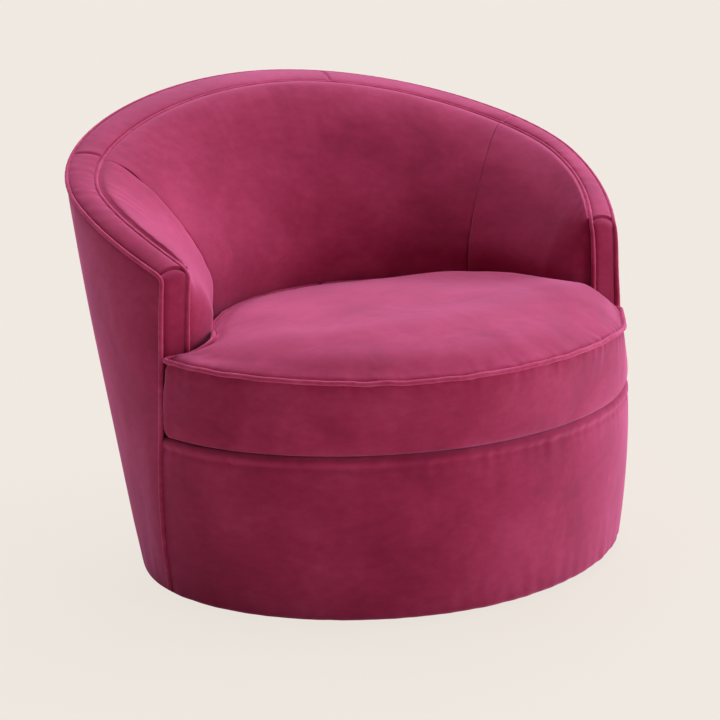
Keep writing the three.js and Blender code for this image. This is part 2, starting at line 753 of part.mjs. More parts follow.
function addFrame() {
  const ringInset = skinInset + skinThickness + boardGap;
  const chamfer = tuckRadius - skinThickness;
  const bottomRing = ovalRing((turn) => {
    const edge = (depth, height) => {
      const inset = ringInset + depth;
      const halfDepth = hemHalfDepth - inset;
      return ovalPoint(turn, hemHalfWidth - inset, halfDepth, drumCentreY, height, drumPower);
    };
    return [
      edge(chamfer, frameBase),
      edge(bottomRingWidth, frameBase),
      edge(bottomRingWidth, bottomRingTop),
      edge(0, bottomRingTop),
      edge(0, frameBase + chamfer),
    ];
  });
  addPiece("bottom_ring", bottomRing, "plywood");

  const railDrop = bandThickness + 2 * boardGap;
  const railFar = linerDepth - boardGap;
  const rail = frameStations.map((side) => [
    underBand(side, frameInset, railDrop),
    underBand(side, railFar, railDrop),
    underBand(side, railFar, railDrop + railThickness),
    underBand(side, frameInset, railDrop + railThickness),
  ]);
  addPiece("top_rail", loft(rail), "plywood");

  const uprightBase = bottomRingTop + seatGap;
  const uprightTop = { drop: railDrop + railThickness + boardGap };
  const slatHalf = slatWidth / 2 / hemPace;
  const uprights = slatShares.map((share, i) => {
    const way = share < 0 ? -1 : 1;
    return {
      name: `back_slat_${i + 1}`,
      from: share - way * slatHalf,
      to: share + way * slatHalf,
      far: frameInset + slatDepth,
    };
  });
  const postStart = frameEnd - postWidth / hemPace;
  const postFar = frameInset + postDepth;
  uprights.push({ name: "arm_post_left", from: -postStart, to: -frameEnd, far: postFar });
  uprights.push({ name: "arm_post_right", from: postStart, to: frameEnd, far: postFar });
  uprights.forEach(({ name, from, to, far }) => {
    const board = wallBoard(from, to, frameInset, far, uprightBase, uprightTop);
    addPiece(name, board, "hardwood");
  });

  const notches = uprights.map(({ from, to, far }) => {
    const high = { height: seatRingTop + overrun };
    const low = seatRingHeight - overrun;
    const margin = (Math.sign(to - from) * boardGap) / hemPace;
    return wallBoard(from - margin, to + margin, 0, far + boardGap + wallBow, low, high);
  });
  const seatRing = ovalRing((turn) => {
    const edge = (inset, height) => {
      const halfDepth = seatRingHalfDepth - inset;
      return ovalPoint(turn, seatRingHalfWidth - inset, halfDepth, seatRingCentreY, height);
    };
    return [
      edge(0, seatRingHeight),
      edge(seatRingWidth, seatRingHeight),
      edge(seatRingWidth, seatRingTop),
      edge(0, seatRingTop),
    ];
  });
  addPiece("seat_ring", cut(seatRing, notches), "plywood");

  const frontNear = ringInset + clothGap;
  const postHalf = slatWidth / 2 / (hemHalfWidth * (Math.PI - hemEndTurn));
  frontPostShares.forEach((share, i) => {
    const rings = stations(share - postHalf, share + postHalf, 2).map((across) => {
      const edge = (depth, height) => drumPoint(frontTurn(across), height, depth);
      return [
        edge(frontNear, uprightBase),
        edge(frontNear + slatDepth, uprightBase),
        edge(frontNear + slatDepth, seatRingHeight - seatGap),
        edge(frontNear, seatRingHeight - seatGap),
      ];
    });
    addPiece(`front_post_${i + 1}`, loft(rings), "hardwood");
  });

  const boardHalfLength = hemLine(frameEnd).x - postFar - boardEndMargin;
  const outline = roundedRectangle(2 * boardHalfLength, boardWidth, boardCornerRadius);
  const boltHoles = boltPlaces.map((place) =>
    at(pin(screwHoleRadius, boardBase - overrun, boardTop + overrun), place),
  );
  const pinRoom = pin(pinHeadRadius + pinClearance, boardBase - overrun, boardTop + overrun);
  const board = cut(plate(outline, boardThickness, boardBase), [...boltHoles, pinRoom]);
  addSwivelPiece("swivel_board", board, "plywood");

  const dustTop = frameBase - seatGap;
  const dustInset = skinInset + tuckRadius + tuckLip + clothGap;
  const dustCover = ovalRing((turn) => {
    const edge = drumPoint(turn, hemHeight, dustInset);
    const hole = ovalPoint(turn, discRadius + dustCoverMargin, discRadius + dustCoverMargin, swivelY, 0);
    return [
      edge.clone().setZ(dustTop - dustCoverThickness),
      hole.clone().setZ(dustTop - dustCoverThickness),
      hole.clone().setZ(dustTop),
      edge.clone().setZ(dustTop),
    ];
  });
  addPiece("dust_cover", dustCover, "felt");
}

// How far the pads have swollen at a side: nothing at the arm's front, full behind its roll.
function rollShare(side) {
  const run = Math.min(1, ((frameEnd - Math.abs(side)) * hemPace) / padRollLength);
  return Math.sqrt(1 - (1 - run) ** 2);
}

// The line of the liner's outer face: share 0 is under the top rail's edge, 1 on the seat ring.
// At the arm's front it stays close to the post.
function linerPoint(side, share, depth) {
  const top = underBand(side, linerDepth, bandThickness + boardGap);
  const behindPad = tubLine(side).addScaledVector(inward(side), -linerSetback);
  const foot = wallPoint(side, seatRingTop, linerDepth).lerp(behindPad, rollShare(side));
  foot.setZ(seatRingTop + seatGap);
  return top.lerp(foot, share).addScaledVector(inward(side), depth);
}

function addLiner() {
  const rings = linerSides.map((side) => [
    linerPoint(side, 0, 0),
    linerPoint(side, 1, 0),
    linerPoint(side, 1, linerThickness),
    linerPoint(side, 0, linerThickness),
  ]);
  addPiece("inner_liner", loft(rings), "board");
}

// The section of an inside pad, from its edge at the inner welt down to the deck and up the
// liner. Puff is 0 at a seam and 1 in the middle of a panel.
function padSection(side, puff) {
  const across = inward(side);
  const edge = innerRimLine(side).addScaledVector(across, weltGap + clothGap);
  const groove = edge.clone().addScaledVector(across, padGroove);
  const fullest = tubLine(side);
  const swell = rollShare(side);
  const wallLean = (height) =>
    wallPoint(side, height, 0)
      .sub(wallPoint(side, edge.z, 0))
      .setZ(0)
      .multiplyScalar(1 - swell);
  const roll = new THREE.CubicBezierCurve(
    new THREE.Vector2(0, 0),
    new THREE.Vector2(rollStartShare, 0),
    new THREE.Vector2(1, rollEndShare),
    new THREE.Vector2(1, 1),
  );
  const inner = [edge];
  roll.getPoints(6).slice(1).forEach((share) => {
    const point = groove.clone().lerp(fullest, share.x * swell);
    const crown = padCrown * puff * swell - seamDepth * (1 - puff) * share.x;
    const height = edge.z + (tubHeight - edge.z) * share.y;
    point.addScaledVector(across, crown * share.x).add(wallLean(height));
    inner.push(point.setZ(height));
  });
  const low = inner[inner.length - 1].clone().sub(wallLean(tubHeight));
  const underShares = [0.4, 1];
  underShares.forEach((share) => {
    const height = tubHeight + (deckUnderside - tubHeight) * share;
    const back = -padUndercut * share * swell;
    inner.push(low.clone().addScaledVector(across, back).add(wallLean(height)).setZ(height));
  });
  const lift = (deckUnderside - seatRingTop - seatGap) / (edge.z - seatRingTop);
  const back = linerThickness + 2 * boardGap;
  const tuckDrop = bandThickness + clothGap;
  const underWelt = innerRimLine(side);
  underWelt.z -= tuckDrop;
  const topInside = linerPoint(side, 0, back);
  topInside.z -= clothGap;
  return [
    ...inner,
    linerPoint(side, 1 - lift, back).setZ(deckUnderside),
    topInside,
    underWelt,
    edge.clone().setZ(edge.z - weltRadius),
  ];
}

function addPads() {
  const middle = backPadSides.map((side) =>
    padSection(side, Math.sqrt(1 - (side / backPadEnd) ** 4)),
  );
  addPiece("inside_back_pad", loft(middle), "velvet");
  [[-1, "left"], [1, "right"]].forEach(([way, name]) => {
    const rings = armPadSides.map((side) => {
      const share = (side - armPadStart) / (frameEnd - armPadStart);
      return padSection(way * side, Math.sqrt(1 - (1 - share) ** 6));
    });
    addPiece(`inside_arm_pad_${name}`, loft(rings), "velvet");
  });
}

function addBand() {
  const crownShares = [0, 0.25, 0.5, 0.75, 1];
  const rings = frameStations.map((side) => {
    const outer = rimLine(side);
    const inner = innerRimLine(side);
    const width = Math.hypot(inner.x - outer.x, inner.y - outer.y);
    const margin = weltGap / width;
    const top = crownShares.map((share) => {
      const point = outer.clone().lerp(inner, margin + (1 - 2 * margin) * share);
      point.z += 4 * bandCrown * share * (1 - share);
      return point;
    });
    const low = inner.clone().lerp(outer, margin);
    low.z -= bandThickness;
    return [...top, low, underBand(side, frameInset, bandThickness)];
  });
  addPiece("top_band", loft(rings), "velvet");
}

function addFacings() {
  const low = creaseHeight + weltGap;
  const width = innerRimLine(1).distanceTo(rimLine(1));
  const thick = facingThickness / hemPace;
  [[-1, "left"], [1, "right"]].forEach(([way, name]) => {
    const near = skinInset + skinThickness + boardGap;
    const far = width - weltGap - clothGap;
    const rings = [1, 1 - thick].map((share) => {
      const side = way * share;
      const middle = width / 2;
      const crown = bandHeight(side, middle, facingDrop - bandCrown);
      return [
        wallPoint(side, crown, middle),
        ...wallRun(side, bandHeight(side, near, facingDrop), low, near),
        ...wallRun(side, bandHeight(side, far, facingDrop), low, far).reverse(),
      ];
    });
    addPiece(`arm_facing_${name}`, loft(rings), "velvet");
  });
}

// A line of points that goes up an arm's front edge, round its corner, along the rim and
// down the other arm.
function weltPoints(rimPoint, edgePoint, foot) {
  const corner = rimPoint(1);
  const turnShare = cornerRadius / hemPace;
  const bend = (way) => {
    const below = edgePoint(way, corner.z - cornerRadius);
    const after = rimPoint(way * (1 - turnShare));
    const curve = new THREE.QuadraticBezierCurve3(below, rimPoint(way), after);
    return curve.getPoints(3);
  };
  const climbHeights = stations(foot, corner.z - cornerRadius, 5).slice(0, -1);
  const left = climbHeights.map((height) => edgePoint(-1, height));
  const right = climbHeights.map((height) => edgePoint(1, height)).reverse();
  const along = stations(turnShare - 1, 1 - turnShare, wallSteps).slice(1, -1).map(rimPoint);
  return [...left, ...bend(-1), ...along, ...bend(1).reverse(), ...right];
}

function addWelts() {
  const outerEdge = (way, height) => wallPoint(way, height, 0);
  const outer = weltPoints(rimLine, outerEdge, hemHeight + tuckRadius);
  addPiece("outer_welt", tube(outer, weltRadius, weltSides), "welt");
  const width = innerRimLine(1).distanceTo(rimLine(1));
  const innerEdge = (way, height) => wallPoint(way, height, width);
  const inner = weltPoints(innerRimLine, innerEdge, creaseHeight + weltGap);
  addPiece("inner_welt", tube(inner, weltRadius, weltSides), "welt");
}

// The line that the ears' back edges lie on, just before the arms.
function cushionEarY() {
  return wallPoint(1, creaseHeight, 0).y - earGap;
}

// The front of the seat, from its middle to a given Y on the right.
function drumArc(halfWidth, halfDepth, height, endY) {
  const end = turnAt(endY, halfDepth, drumCentreY, drumPower);
  return stations(Math.PI, end, drumSteps / 2).map((turn) =>
    ovalPoint(turn, halfWidth, halfDepth, drumCentreY, height, drumPower),
  );
}

// The back of the seat, from a given Y on the right to its middle.
function tubArc(halfWidth, halfDepth, height, startY) {
  const start = turnAt(startY, halfDepth, tubCentreY);
  return stations(start, 0, drumSteps / 2).map((turn) =>
    ovalPoint(turn, halfWidth, halfDepth, tubCentreY, height),
  );
}

function mirrored(half) {
  const others = half.slice(1, -1).reverse();
  return [...half, ...others.map((point) => point.clone().setX(-point.x))];
}

// The outline of the seat, as a list of points from the middle of the front round the right
// side: a drum front with an ear before each arm, a notch round each arm pad's roll, and a
// round back that fits the tub. The front and back are drawn in by insets of their own.
function seatOutline(halfWidth, halfDepth, height, front, back) {
  const earY = cushionEarY() - back;
  const arc = drumArc(halfWidth - front, halfDepth - front, height, earY - earRadius);
  const tip = arc[arc.length - 1];
  const earEnd = new THREE.Vector3(tip.x - earRadius, earY, height);
  const corner = new THREE.QuadraticBezierCurve3(tip, tip.clone().setY(earY), earEnd);
  const tubInset = padCrown + cushionLiftGap + back;
  const tub = tubArc(tubHalfWidth - tubInset, tubHalfDepth - tubInset, height, rollEndY - back);
  const grooveX = innerRimLine(1).x - weltGap - padGroove - cushionLiftGap - back;
  const notchStart = new THREE.Vector3(grooveX, earY, height);
  const notch = new THREE.QuadraticBezierCurve3(notchStart, tub[0].clone().setY(earY), tub[0]);
  const bends = [
    ...corner.getPoints(cornerSteps).slice(1),
    ...notch.getPoints(notchSteps).slice(0, -1),
  ];
  return mirrored([...arc, ...bends, ...tub]);
}

// The line inside the outline where the crown levels off, point for point.
function crownOutline(height, shrink) {
  const inset = crownRun + shrink;
  const earY = cushionEarY() - inset / 2;
  const arc = drumArc(pipingHalfWidth - inset, pipingHalfDepth - inset, height, earY);
  const tubInset = padCrown + cushionLiftGap + shrink;
  const halfWidth = tubHalfWidth - sideCrownRun - tubInset;
  const halfDepth = tubHalfDepth - backCrownRun - tubInset;
  const tub = tubArc(halfWidth, halfDepth, height, tubCentreY + halfDepth / 4);
  const bends = stations(0, 1, cornerSteps + notchSteps + 1)
    .slice(1, -1)
    .map((share) => arc[arc.length - 1].clone().lerp(tub[0], share));
  return mirrored([...arc, ...bends, ...tub]);
}

// How fast the crown rises from a point of the outline: slower on the ears, and faster beside
// the arm pads, which the cushion presses against.
function fullness(point, index, count) {
  const place = Math.min(index, count - index) - drumSteps / 2;
  if (place <= 0) {
    return 0;
  }
  const atSide = Math.min(1, Math.abs(point.x) / tubHalfWidth) ** sideFullnessPower;
  return place <= cornerSteps ? earFullness : sideFullness * atSide;
}

// The cushion's outline at a share of its height, from the crease at 0 to the piping at 1.
function cushionOutline(share, inset) {
  const swell = 4 * boxingBulge * share * (1 - share);
  const halfWidth = creaseHalfWidth + (pipingHalfWidth - creaseHalfWidth) * share + swell;
  const halfDepth = creaseHalfDepth + (pipingHalfDepth - creaseHalfDepth) * share + swell;
  const height = creaseHeight + (pipingHeight - creaseHeight) * share;
  return seatOutline(halfWidth, halfDepth, height, inset, inset);
}

// A crowned cushion with boxed sides that draw in at the bottom, made smaller all round. The
// crown rises from the piping, faster at the back, and levels off towards the middle.
function cushionSolid(sideRows, topRows, shrink) {
  const base = creaseHeight + seatGap + shrink;
  const level = (ring, height) => ring.map((point) => point.clone().setZ(height));
  const rings = sideRows.map(([share, inset]) => {
    const ring = cushionOutline(share, inset + shrink);
    return level(ring, Math.max(ring[0].z, base));
  });
  const crownHeight = (rise) => pipingHeight - shrink + cushionCrown * rise;
  const rim = cushionOutline(1, weltGap + shrink);
  const inner = crownOutline(0, shrink);
  topRows.forEach(({ run, rise }) => {
    const ring = rim.map((point, j) =>
      point.clone().lerp(inner[j], run ** (1 + fullness(point, j, rim.length))),
    );
    rings.push(level(ring, crownHeight(rise)));
  });
  const centre = new THREE.Vector3(0, drumCentreY - pipingHalfDepth / 3, 0);
  middleRows.forEach(({ scale, rise }) => {
    const ring = inner.map((point) => centre.clone().lerp(point, scale));
    rings.push(level(ring, crownHeight(rise)));
  });
  return loft(rings);
}

// A strip that follows the back of the boxing, for the zip and the slot it closes.
function zipStrip(outside, inside, margin) {
  const height = creaseHeight + zipRise;
  const tubInset = padCrown + cushionLiftGap;
  const turn = zipHalfTurn + margin / tubHalfWidth;
  const rings = stations(-turn, turn, smallSteps).map((place) => {
    const edge = (inset, level) =>
      ovalPoint(place, tubHalfWidth - inset, tubHalfDepth - inset, tubCentreY, level);
    return [
      edge(tubInset - outside, height - margin),
      edge(tubInset + inside, height - margin),
      edge(tubInset + inside, height + zipHeight + margin),
      edge(tubInset - outside, height + zipHeight + margin),
    ];
  });
  return loft(rings);
}

function addCushion() {
  const sideRows = [
    [0, 2 * cushionDrawIn],
    [0.03, cushionDrawIn],
    [0.12, 0],
    [0.55, 0],
    [0.9, weltRadius / 3],
    [1, weltGap],
  ];
  const plainRows = [[0, cushionDrawIn], [1, 0]];
  const plainCrown = crownRows.slice(-1);
  const outside = cushionSolid(sideRows, crownRows, 0);
  const hollow = cushionSolid(plainRows, plainCrown, wrapThickness);
  const slot = zipStrip(overrun, wrapThickness + overrun, seatGap);
  addPiece("cushion_cover", cut(outside, [hollow, slot]), "velvet");
  const heartY = drumCentreY - pipingHalfDepth / 2;
  const heart = new THREE.Vector3(0, heartY, (creaseHeight + pipingHeight) / 2);
  const core = cushionSolid(plainRows, plainCrown, wrapThickness);
  core.translate(-heart.x, -heart.y, -heart.z).scale(coreShare, coreShare, coreShare);
  addPiece("cushion_core", core.translate(heart.x, heart.y, heart.z), "foam");
  addPiece("cushion_zip", zipStrip(0, zipDepth, 0), "welt");
  const line = cushionOutline(1, 0);
  const half = Math.floor(line.length / 2);
  const loop = [...line.slice(half), ...line.slice(0, half)];
  const joint = loop[0].clone().lerp(loop[loop.length - 1], clothGap / springPitch);
  addPiece("seat_piping", tube([...loop, joint], weltRadius, weltSides), "welt");
}

function addDeck() {
  const outline = (height) => {
    const reach = skinInset + lipRadius + deckBorder + clothGap;
    return seatOutline(creaseHalfWidth, creaseHalfDepth, height, reach, deckMargin);
  };
  const rings = [outline(deckUnderside), outline(creaseHeight - seatGap)];
  addPiece("deck_pad", loft(rings), "felt");

  const openWidth = seatRingHalfWidth - seatRingWidth;
  const openDepth = seatRingHalfDepth - seatRingWidth;
  for (let i = 0; i < springCount; i++) {
    const x = (i - (springCount - 1) / 2) * springPitch;
    const edge = Math.abs(x) + springHalfWidth;
    const reach = openDepth * Math.sqrt(1 - (edge / openWidth) ** 2) + springBearing;
    const legs = Math.round((2 * reach) / springLegPitch);
    const height = seatRingTop + seatGap + wireRadius;
    const points = stations(-reach, reach, legs).flatMap((y, leg) => {
      const way = leg % 2 ? 1 : -1;
      return [-way, way].map((end) =>
        new THREE.Vector3(x + end * springHalfWidth, seatRingCentreY + y, height),
      );
    });
    addPiece(`seat_spring_${i + 1}`, tube(points, wireRadius, wireSides), "spring");
  }
}

addSwivel();
addFrame();
addLiner();
addDeck();
addPads();
addBand();
addFacings();
addOutsideCovers();
addWelts();
addCushion();

export default chair;
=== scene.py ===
import math

import bpy
import numpy as np
from mathutils import Matrix, Vector
from mathutils.kdtree import KDTree


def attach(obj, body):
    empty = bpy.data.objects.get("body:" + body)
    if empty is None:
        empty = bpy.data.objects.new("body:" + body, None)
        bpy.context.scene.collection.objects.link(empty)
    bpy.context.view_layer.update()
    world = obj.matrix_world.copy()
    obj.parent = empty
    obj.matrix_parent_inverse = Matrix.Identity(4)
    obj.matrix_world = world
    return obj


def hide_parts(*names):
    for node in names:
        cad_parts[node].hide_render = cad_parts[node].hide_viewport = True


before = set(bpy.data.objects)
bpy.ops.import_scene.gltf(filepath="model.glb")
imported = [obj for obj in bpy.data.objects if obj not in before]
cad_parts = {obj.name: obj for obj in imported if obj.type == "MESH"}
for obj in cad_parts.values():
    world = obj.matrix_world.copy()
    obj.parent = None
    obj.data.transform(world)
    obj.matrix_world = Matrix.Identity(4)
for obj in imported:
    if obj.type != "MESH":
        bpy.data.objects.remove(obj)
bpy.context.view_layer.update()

# ---------------- sizes of the upholstery
OVERALL_WIDTH = 1.0
OVERALL_DEPTH = 0.908
BACK_HEIGHT = 0.78
ARM_HEIGHT = 0.556
WELT_RADIUS = 0.0035
WELT_GAP = 0.0045
CORNER_RADIUS = 0.012
CLOTH_GAP = 0.001
# The cord with its velvet on is a little thicker, and the covers are sewn up against it.
CORD_RADIUS = 0.0041
SEWN_GAP = 0.0037

RIM_HALF_WIDTH = OVERALL_WIDTH / 2 - WELT_RADIUS
RIM_BACK_DEPTH = OVERALL_DEPTH * 0.3844
RIM_FRONT_DEPTH = OVERALL_DEPTH * 0.5628
RIM_POWER = 1.94
RIM_CENTRE_Y = OVERALL_DEPTH / 2 - WELT_RADIUS - RIM_BACK_DEPTH
ARM_FRONT_Y = OVERALL_DEPTH * -0.147

BAND_ARM_WIDTH = 0.043
BAND_BACK_WIDTH = 0.087
BAND_TAPER_POWER = 2.6
BAND_THICKNESS = 0.012
BAND_CROWN = 0.006
# The band's cross seams, from -1 at the left arm's end to 1 at the right's.
BAND_JOINS = (-0.545, 0.137, 0.56)
INNER_FRONT_Y = ARM_FRONT_Y + 0.0022
INNER_ARM_HEIGHT = ARM_HEIGHT + 0.004
INNER_BACK_HEIGHT = BACK_HEIGHT - 0.008

DRUM_POWER = 1.92
HEM_HEIGHT = 0.009
HEM_HALF_WIDTH = OVERALL_WIDTH * 0.447
HEM_HALF_DEPTH = OVERALL_DEPTH * 0.3921
HEM_FRONT_Y = OVERALL_DEPTH * -0.1573
CREASE_HEIGHT = 0.29
CREASE_HALF_WIDTH = OVERALL_WIDTH * 0.458
CREASE_HALF_DEPTH = OVERALL_DEPTH * 0.3811
PIPING_HEIGHT = 0.421
PIPING_HALF_WIDTH = OVERALL_WIDTH * 0.45
PIPING_HALF_DEPTH = OVERALL_DEPTH * 0.4042
DRUM_CENTRE_Y = PIPING_HALF_DEPTH + WELT_RADIUS - OVERALL_DEPTH / 2

SKIN_THICKNESS = 0.0035
SKIN_INSET = 0.001
TUCK_RADIUS = 0.01
TUCK_LIP = 0.04
WALL_BOW = 0.008
BOW_SHARE = 2.6
DRUM_BULGE = 0.008
DECK_BORDER = 0.038
LIP_RADIUS = 0.007
SEAT_GAP = 0.0004

TUB_HALF_WIDTH = OVERALL_WIDTH * 0.345
TUB_HALF_DEPTH = OVERALL_DEPTH * 0.3855
TUB_CENTRE_Y = ARM_FRONT_Y - 0.0245
TUB_END_TURN = math.radians(85)
TUB_HEIGHT = 0.47
PAD_CROWN = 0.009
PAD_UNDERCUT = 0.014
PAD_ROLL_LENGTH = 0.052
PAD_GROOVE = 0.004
SEAM_SHARE = 0.56
SEAM_DEPTH = 0.005
SEAM_GAP = 0.0004
PAD_BACK = 0.006
LINER_SETBACK = 0.06
LINER_DROP = 0.0015
LINER_CLEARANCE = 0.003
FACING_THICKNESS = 0.007
FACING_DROP = 0.004
FACING_CLEARANCE = 0.0015

SEAT_RING_TOP = 0.257
DECK_UNDERSIDE = 0.2614

LIFT_GAP = 0.004
CUSHION_CROWN = 0.045
CROWN_RUN = 0.1
SIDE_CROWN_RUN = 0.08
BACK_CROWN_RUN = 0.2
SIDE_FULLNESS = 2.4
EAR_FULLNESS = -0.25
DRAW_IN = 0.0022
BOXING_BULGE = 0.003
EAR_GAP = 0.005
EAR_RADIUS = 0.008

# The dust cover's opening round the floor disc.
DISC_RADIUS = HEM_HALF_WIDTH - 0.197
DISC_CLEARANCE = 0.008
CAMBRIC_THICKNESS = 0.0006
CAMBRIC_SAG = 0.0006

# How the cushion has settled in use: where in plan, how far that reaches, how far it moved.
RIGHT_EAR_AT, RIGHT_EAR_REACH, RIGHT_EAR_BY = (0.405, -0.24), 0.095, (-0.011, 0.0, -0.017)
RIGHT_EAR_BACK_BY, RIGHT_EAR_TOP_DROP = (-0.004, 0.0, -0.013), 0.007
LEFT_EAR_BY = (-0.003, 0.002, 0.0)
FRONT_AT, FRONT_REACH, FRONT_DROP = (-0.16, -0.43), 0.16, 0.003
CORNER_AT, CORNER_REACH, CORNER_FILL = (0.338, -0.11), 0.05, (0.009, 0.010, 0.022)
RIM_REACH = 0.035
SIDE_LEAN, CROWN_DROP = 0.009, 0.003

# Wrinkles: how deep, how far apart, and the seed of their random draw.
BACK_PULL = 0.0007, 0.22, 3
BACK_HEM_GATHER = 0.0008, 0.05, 5
PANEL_PULL = 0.0008, 0.2, 11
PANEL_HEM_GATHER = 0.0007, 0.045, 13
CREASE_GATHER = 0.0009, 0.03, 17
BACK_PAD_SEED, ARM_PAD_SEED = 21, 31
PAD_GATHER, PAD_STUFFING, PAD_TENSION = (0.0011, 0.026), (0.0014, 0.13), (0.0012, 0.035)
BAND_FOLD = 0.0011, 0.02, 41
WELT_PUCKER_SHARE, PIPING_PUCKER_SHARE, CORD_PUCKER = 0.04, 0.05, 0.014
WELT_SEED, PIPING_SEED = 50, 72
CUSHION_PUCKER = 0.0011, 0.017, 61
CUSHION_FOLD = 0.0006, 0.05, 62
CUSHION_STUFFING = 0.0014, 0.14, 63
PIPING_WAVE = 0.0007, 0.06, 71
CAMBRIC_FOLD = 0.5, 0.09, 81

# Where covers are drawn down or stand up: how far, and how wide that runs.
PAD_STAND, ARM_PAD_STAND, PAD_STAND_RUN = 0.0012, 0.0022, 0.06
STAPLE_DIP, STAPLE_REACH = 0.0016, 0.004
LIP_ROLL, LIP_ROLL_DOWN, LIP_ROLL_WIDTH = 0.0022, 0.008, 0.0055
LIP_DIP, LIP_DIP_DOWN, LIP_DIP_WIDTH = 0.0013, 0.019, 0.0045
BAND_JOIN_DIP, BAND_JOIN_WIDTH, BAND_JOIN_PUFF = 0.0022, 0.0022, 0.0006
FACING_CROWN, FACING_EDGE, FACING_TOP_EDGE = 0.0012, 0.0016, 0.002
RIM_CORD_DROP = 0.0012
DECK_CHANNEL, DECK_CHANNEL_WIDTH, DECK_EDGE_DROP = 0.0045, 0.075, 0.004

# The cushion's stuffing, by a cloth simulation.
STUFFED_VELVET = {
    "quality": 4, "mass": 0.3, "tension_stiffness": 12, "compression_stiffness": 12,
    "shear_stiffness": 4, "bending_stiffness": 0.8, "use_pressure": True,
    "uniform_pressure_force": 4.0, "vertex_group_mass": "seams",
}
STUFFING_FRAMES = 20
SWELL_CAP = 0.007
FOAM_INSET = 0.012

# How finely the pieces are drawn.
CUSHION_VOXEL = 0.0055
CORD_STEP = 0.004
WALL_STATIONS = 260
DRUM_STATIONS = 120
EAR_STATIONS = 10
NOTCH_STATIONS = 18
TUB_STATIONS = 84


# ---------------- lines of the chair
IN_PLAN = np.array([1.0, 1.0, 0.0])


def oval(turn, half_width, half_depth, centre_y, height, power=2.0):
    """Points of an oval in plan. The turn is measured from the back."""
    turn = np.asarray(turn, float)
    along = np.sign(np.sin(turn)) * np.abs(np.sin(turn)) ** (2 / power)
    back = np.sign(np.cos(turn)) * np.abs(np.cos(turn)) ** (2 / power)
    x = half_width * along
    y = centre_y + half_depth * back
    return np.stack(np.broadcast_arrays(x, y, np.asarray(height, float)), -1)


def turn_at(y, half_depth, centre_y, power=2.0):
    reach = (y - centre_y) / half_depth
    return math.acos(math.copysign(abs(reach) ** (power / 2), reach))


def climb(share, start_share, end_share):
    """From 0 to 1, with the steepness at each end set as a share of an even climb's."""
    start = (start_share - 1) * share * (1 - share) ** 2
    end = (end_share - 1) * share**2 * (1 - share)
    return share + start - end


RIM_END_TURN = turn_at(ARM_FRONT_Y, RIM_FRONT_DEPTH, RIM_CENTRE_Y, RIM_POWER)
INNER_END_TURN = turn_at(
    INNER_FRONT_Y, RIM_FRONT_DEPTH - BAND_ARM_WIDTH, RIM_CENTRE_Y, RIM_POWER
)
HEM_END_TURN = turn_at(HEM_FRONT_Y, HEM_HALF_DEPTH, DRUM_CENTRE_Y, DRUM_POWER)


def rim_oval(turn, inset):
    depth = np.where(np.cos(turn) > 0, RIM_BACK_DEPTH, RIM_FRONT_DEPTH)
    return oval(turn, RIM_HALF_WIDTH - inset, depth - inset, RIM_CENTRE_Y, 0, RIM_POWER)


def rim_line(side):
    """The outer welt's line, from -1 at the left arm to 1 at the right."""
    point = rim_oval(np.asarray(side) * RIM_END_TURN, 0)
    share = (point[..., 1] - ARM_FRONT_Y) / (RIM_CENTRE_Y + RIM_BACK_DEPTH - ARM_FRONT_Y)
    point[..., 2] = ARM_HEIGHT + (BACK_HEIGHT - ARM_HEIGHT) * climb(share, 1.13, 1.34)
    return point


def band_width(side):
    taper = np.abs(np.cos(np.asarray(side) * math.pi / 2)) ** BAND_TAPER_POWER
    return BAND_ARM_WIDTH + (BAND_BACK_WIDTH - BAND_ARM_WIDTH) * taper


def inner_rim_line(side):
    """The inner welt's line."""
    point = rim_oval(np.asarray(side) * INNER_END_TURN, band_width(side))
    back_y = RIM_CENTRE_Y + RIM_BACK_DEPTH - BAND_BACK_WIDTH
    share = (point[..., 1] - INNER_FRONT_Y) / (back_y - INNER_FRONT_Y)
    rise = climb(share, 1.32, 1.79)
    point[..., 2] = INNER_ARM_HEIGHT + (INNER_BACK_HEIGHT - INNER_ARM_HEIGHT) * rise
    return point


def drum_oval(turn, half_width, half_depth, height):
    return oval(turn, half_width, half_depth, DRUM_CENTRE_Y, height, DRUM_POWER)


def hem_line(side):
    return drum_oval(np.asarray(side) * HEM_END_TURN, HEM_HALF_WIDTH, HEM_HALF_DEPTH, HEM_HEIGHT)


def tub_line(side):
    turn = np.asarray(side) * TUB_END_TURN
    return oval(turn, TUB_HALF_WIDTH, TUB_HALF_DEPTH, TUB_CENTRE_Y, TUB_HEIGHT)


def level(vectors):
    """The ways that vectors point in plan."""
    flat = vectors * IN_PLAN
    return flat / np.linalg.norm(flat, axis=-1, keepdims=True)


def up(height):
    return np.array([0.0, 0.0, height])


def inward(side):
    return level(inner_rim_line(side) - rim_line(side))


def wall_point(side, height, depth):
    """A point of the wall at a height, and a depth inside the outer cover's face."""
    side, height, depth = np.broadcast_arrays(side, height, depth)
    foot = hem_line(side)
    top = rim_line(side)
    share = (height - HEM_HEIGHT) / (top[..., 2] - HEM_HEIGHT)
    bow = WALL_BOW * BOW_SHARE * share * np.sqrt(np.maximum(0, 1 - share))
    point = foot + (top - foot) * share[..., None]
    return point + inward(side) * (depth - bow)[..., None]


def band_height(side, depth, drop):
    outer = rim_line(side)
    inner = inner_rim_line(side)
    width = np.hypot(*(inner - outer)[..., :2].T).T
    return outer[..., 2] + (inner[..., 2] - outer[..., 2]) * depth / width - drop


def under_band(side, depth, drop):
    return wall_point(side, band_height(side, depth, drop), depth)


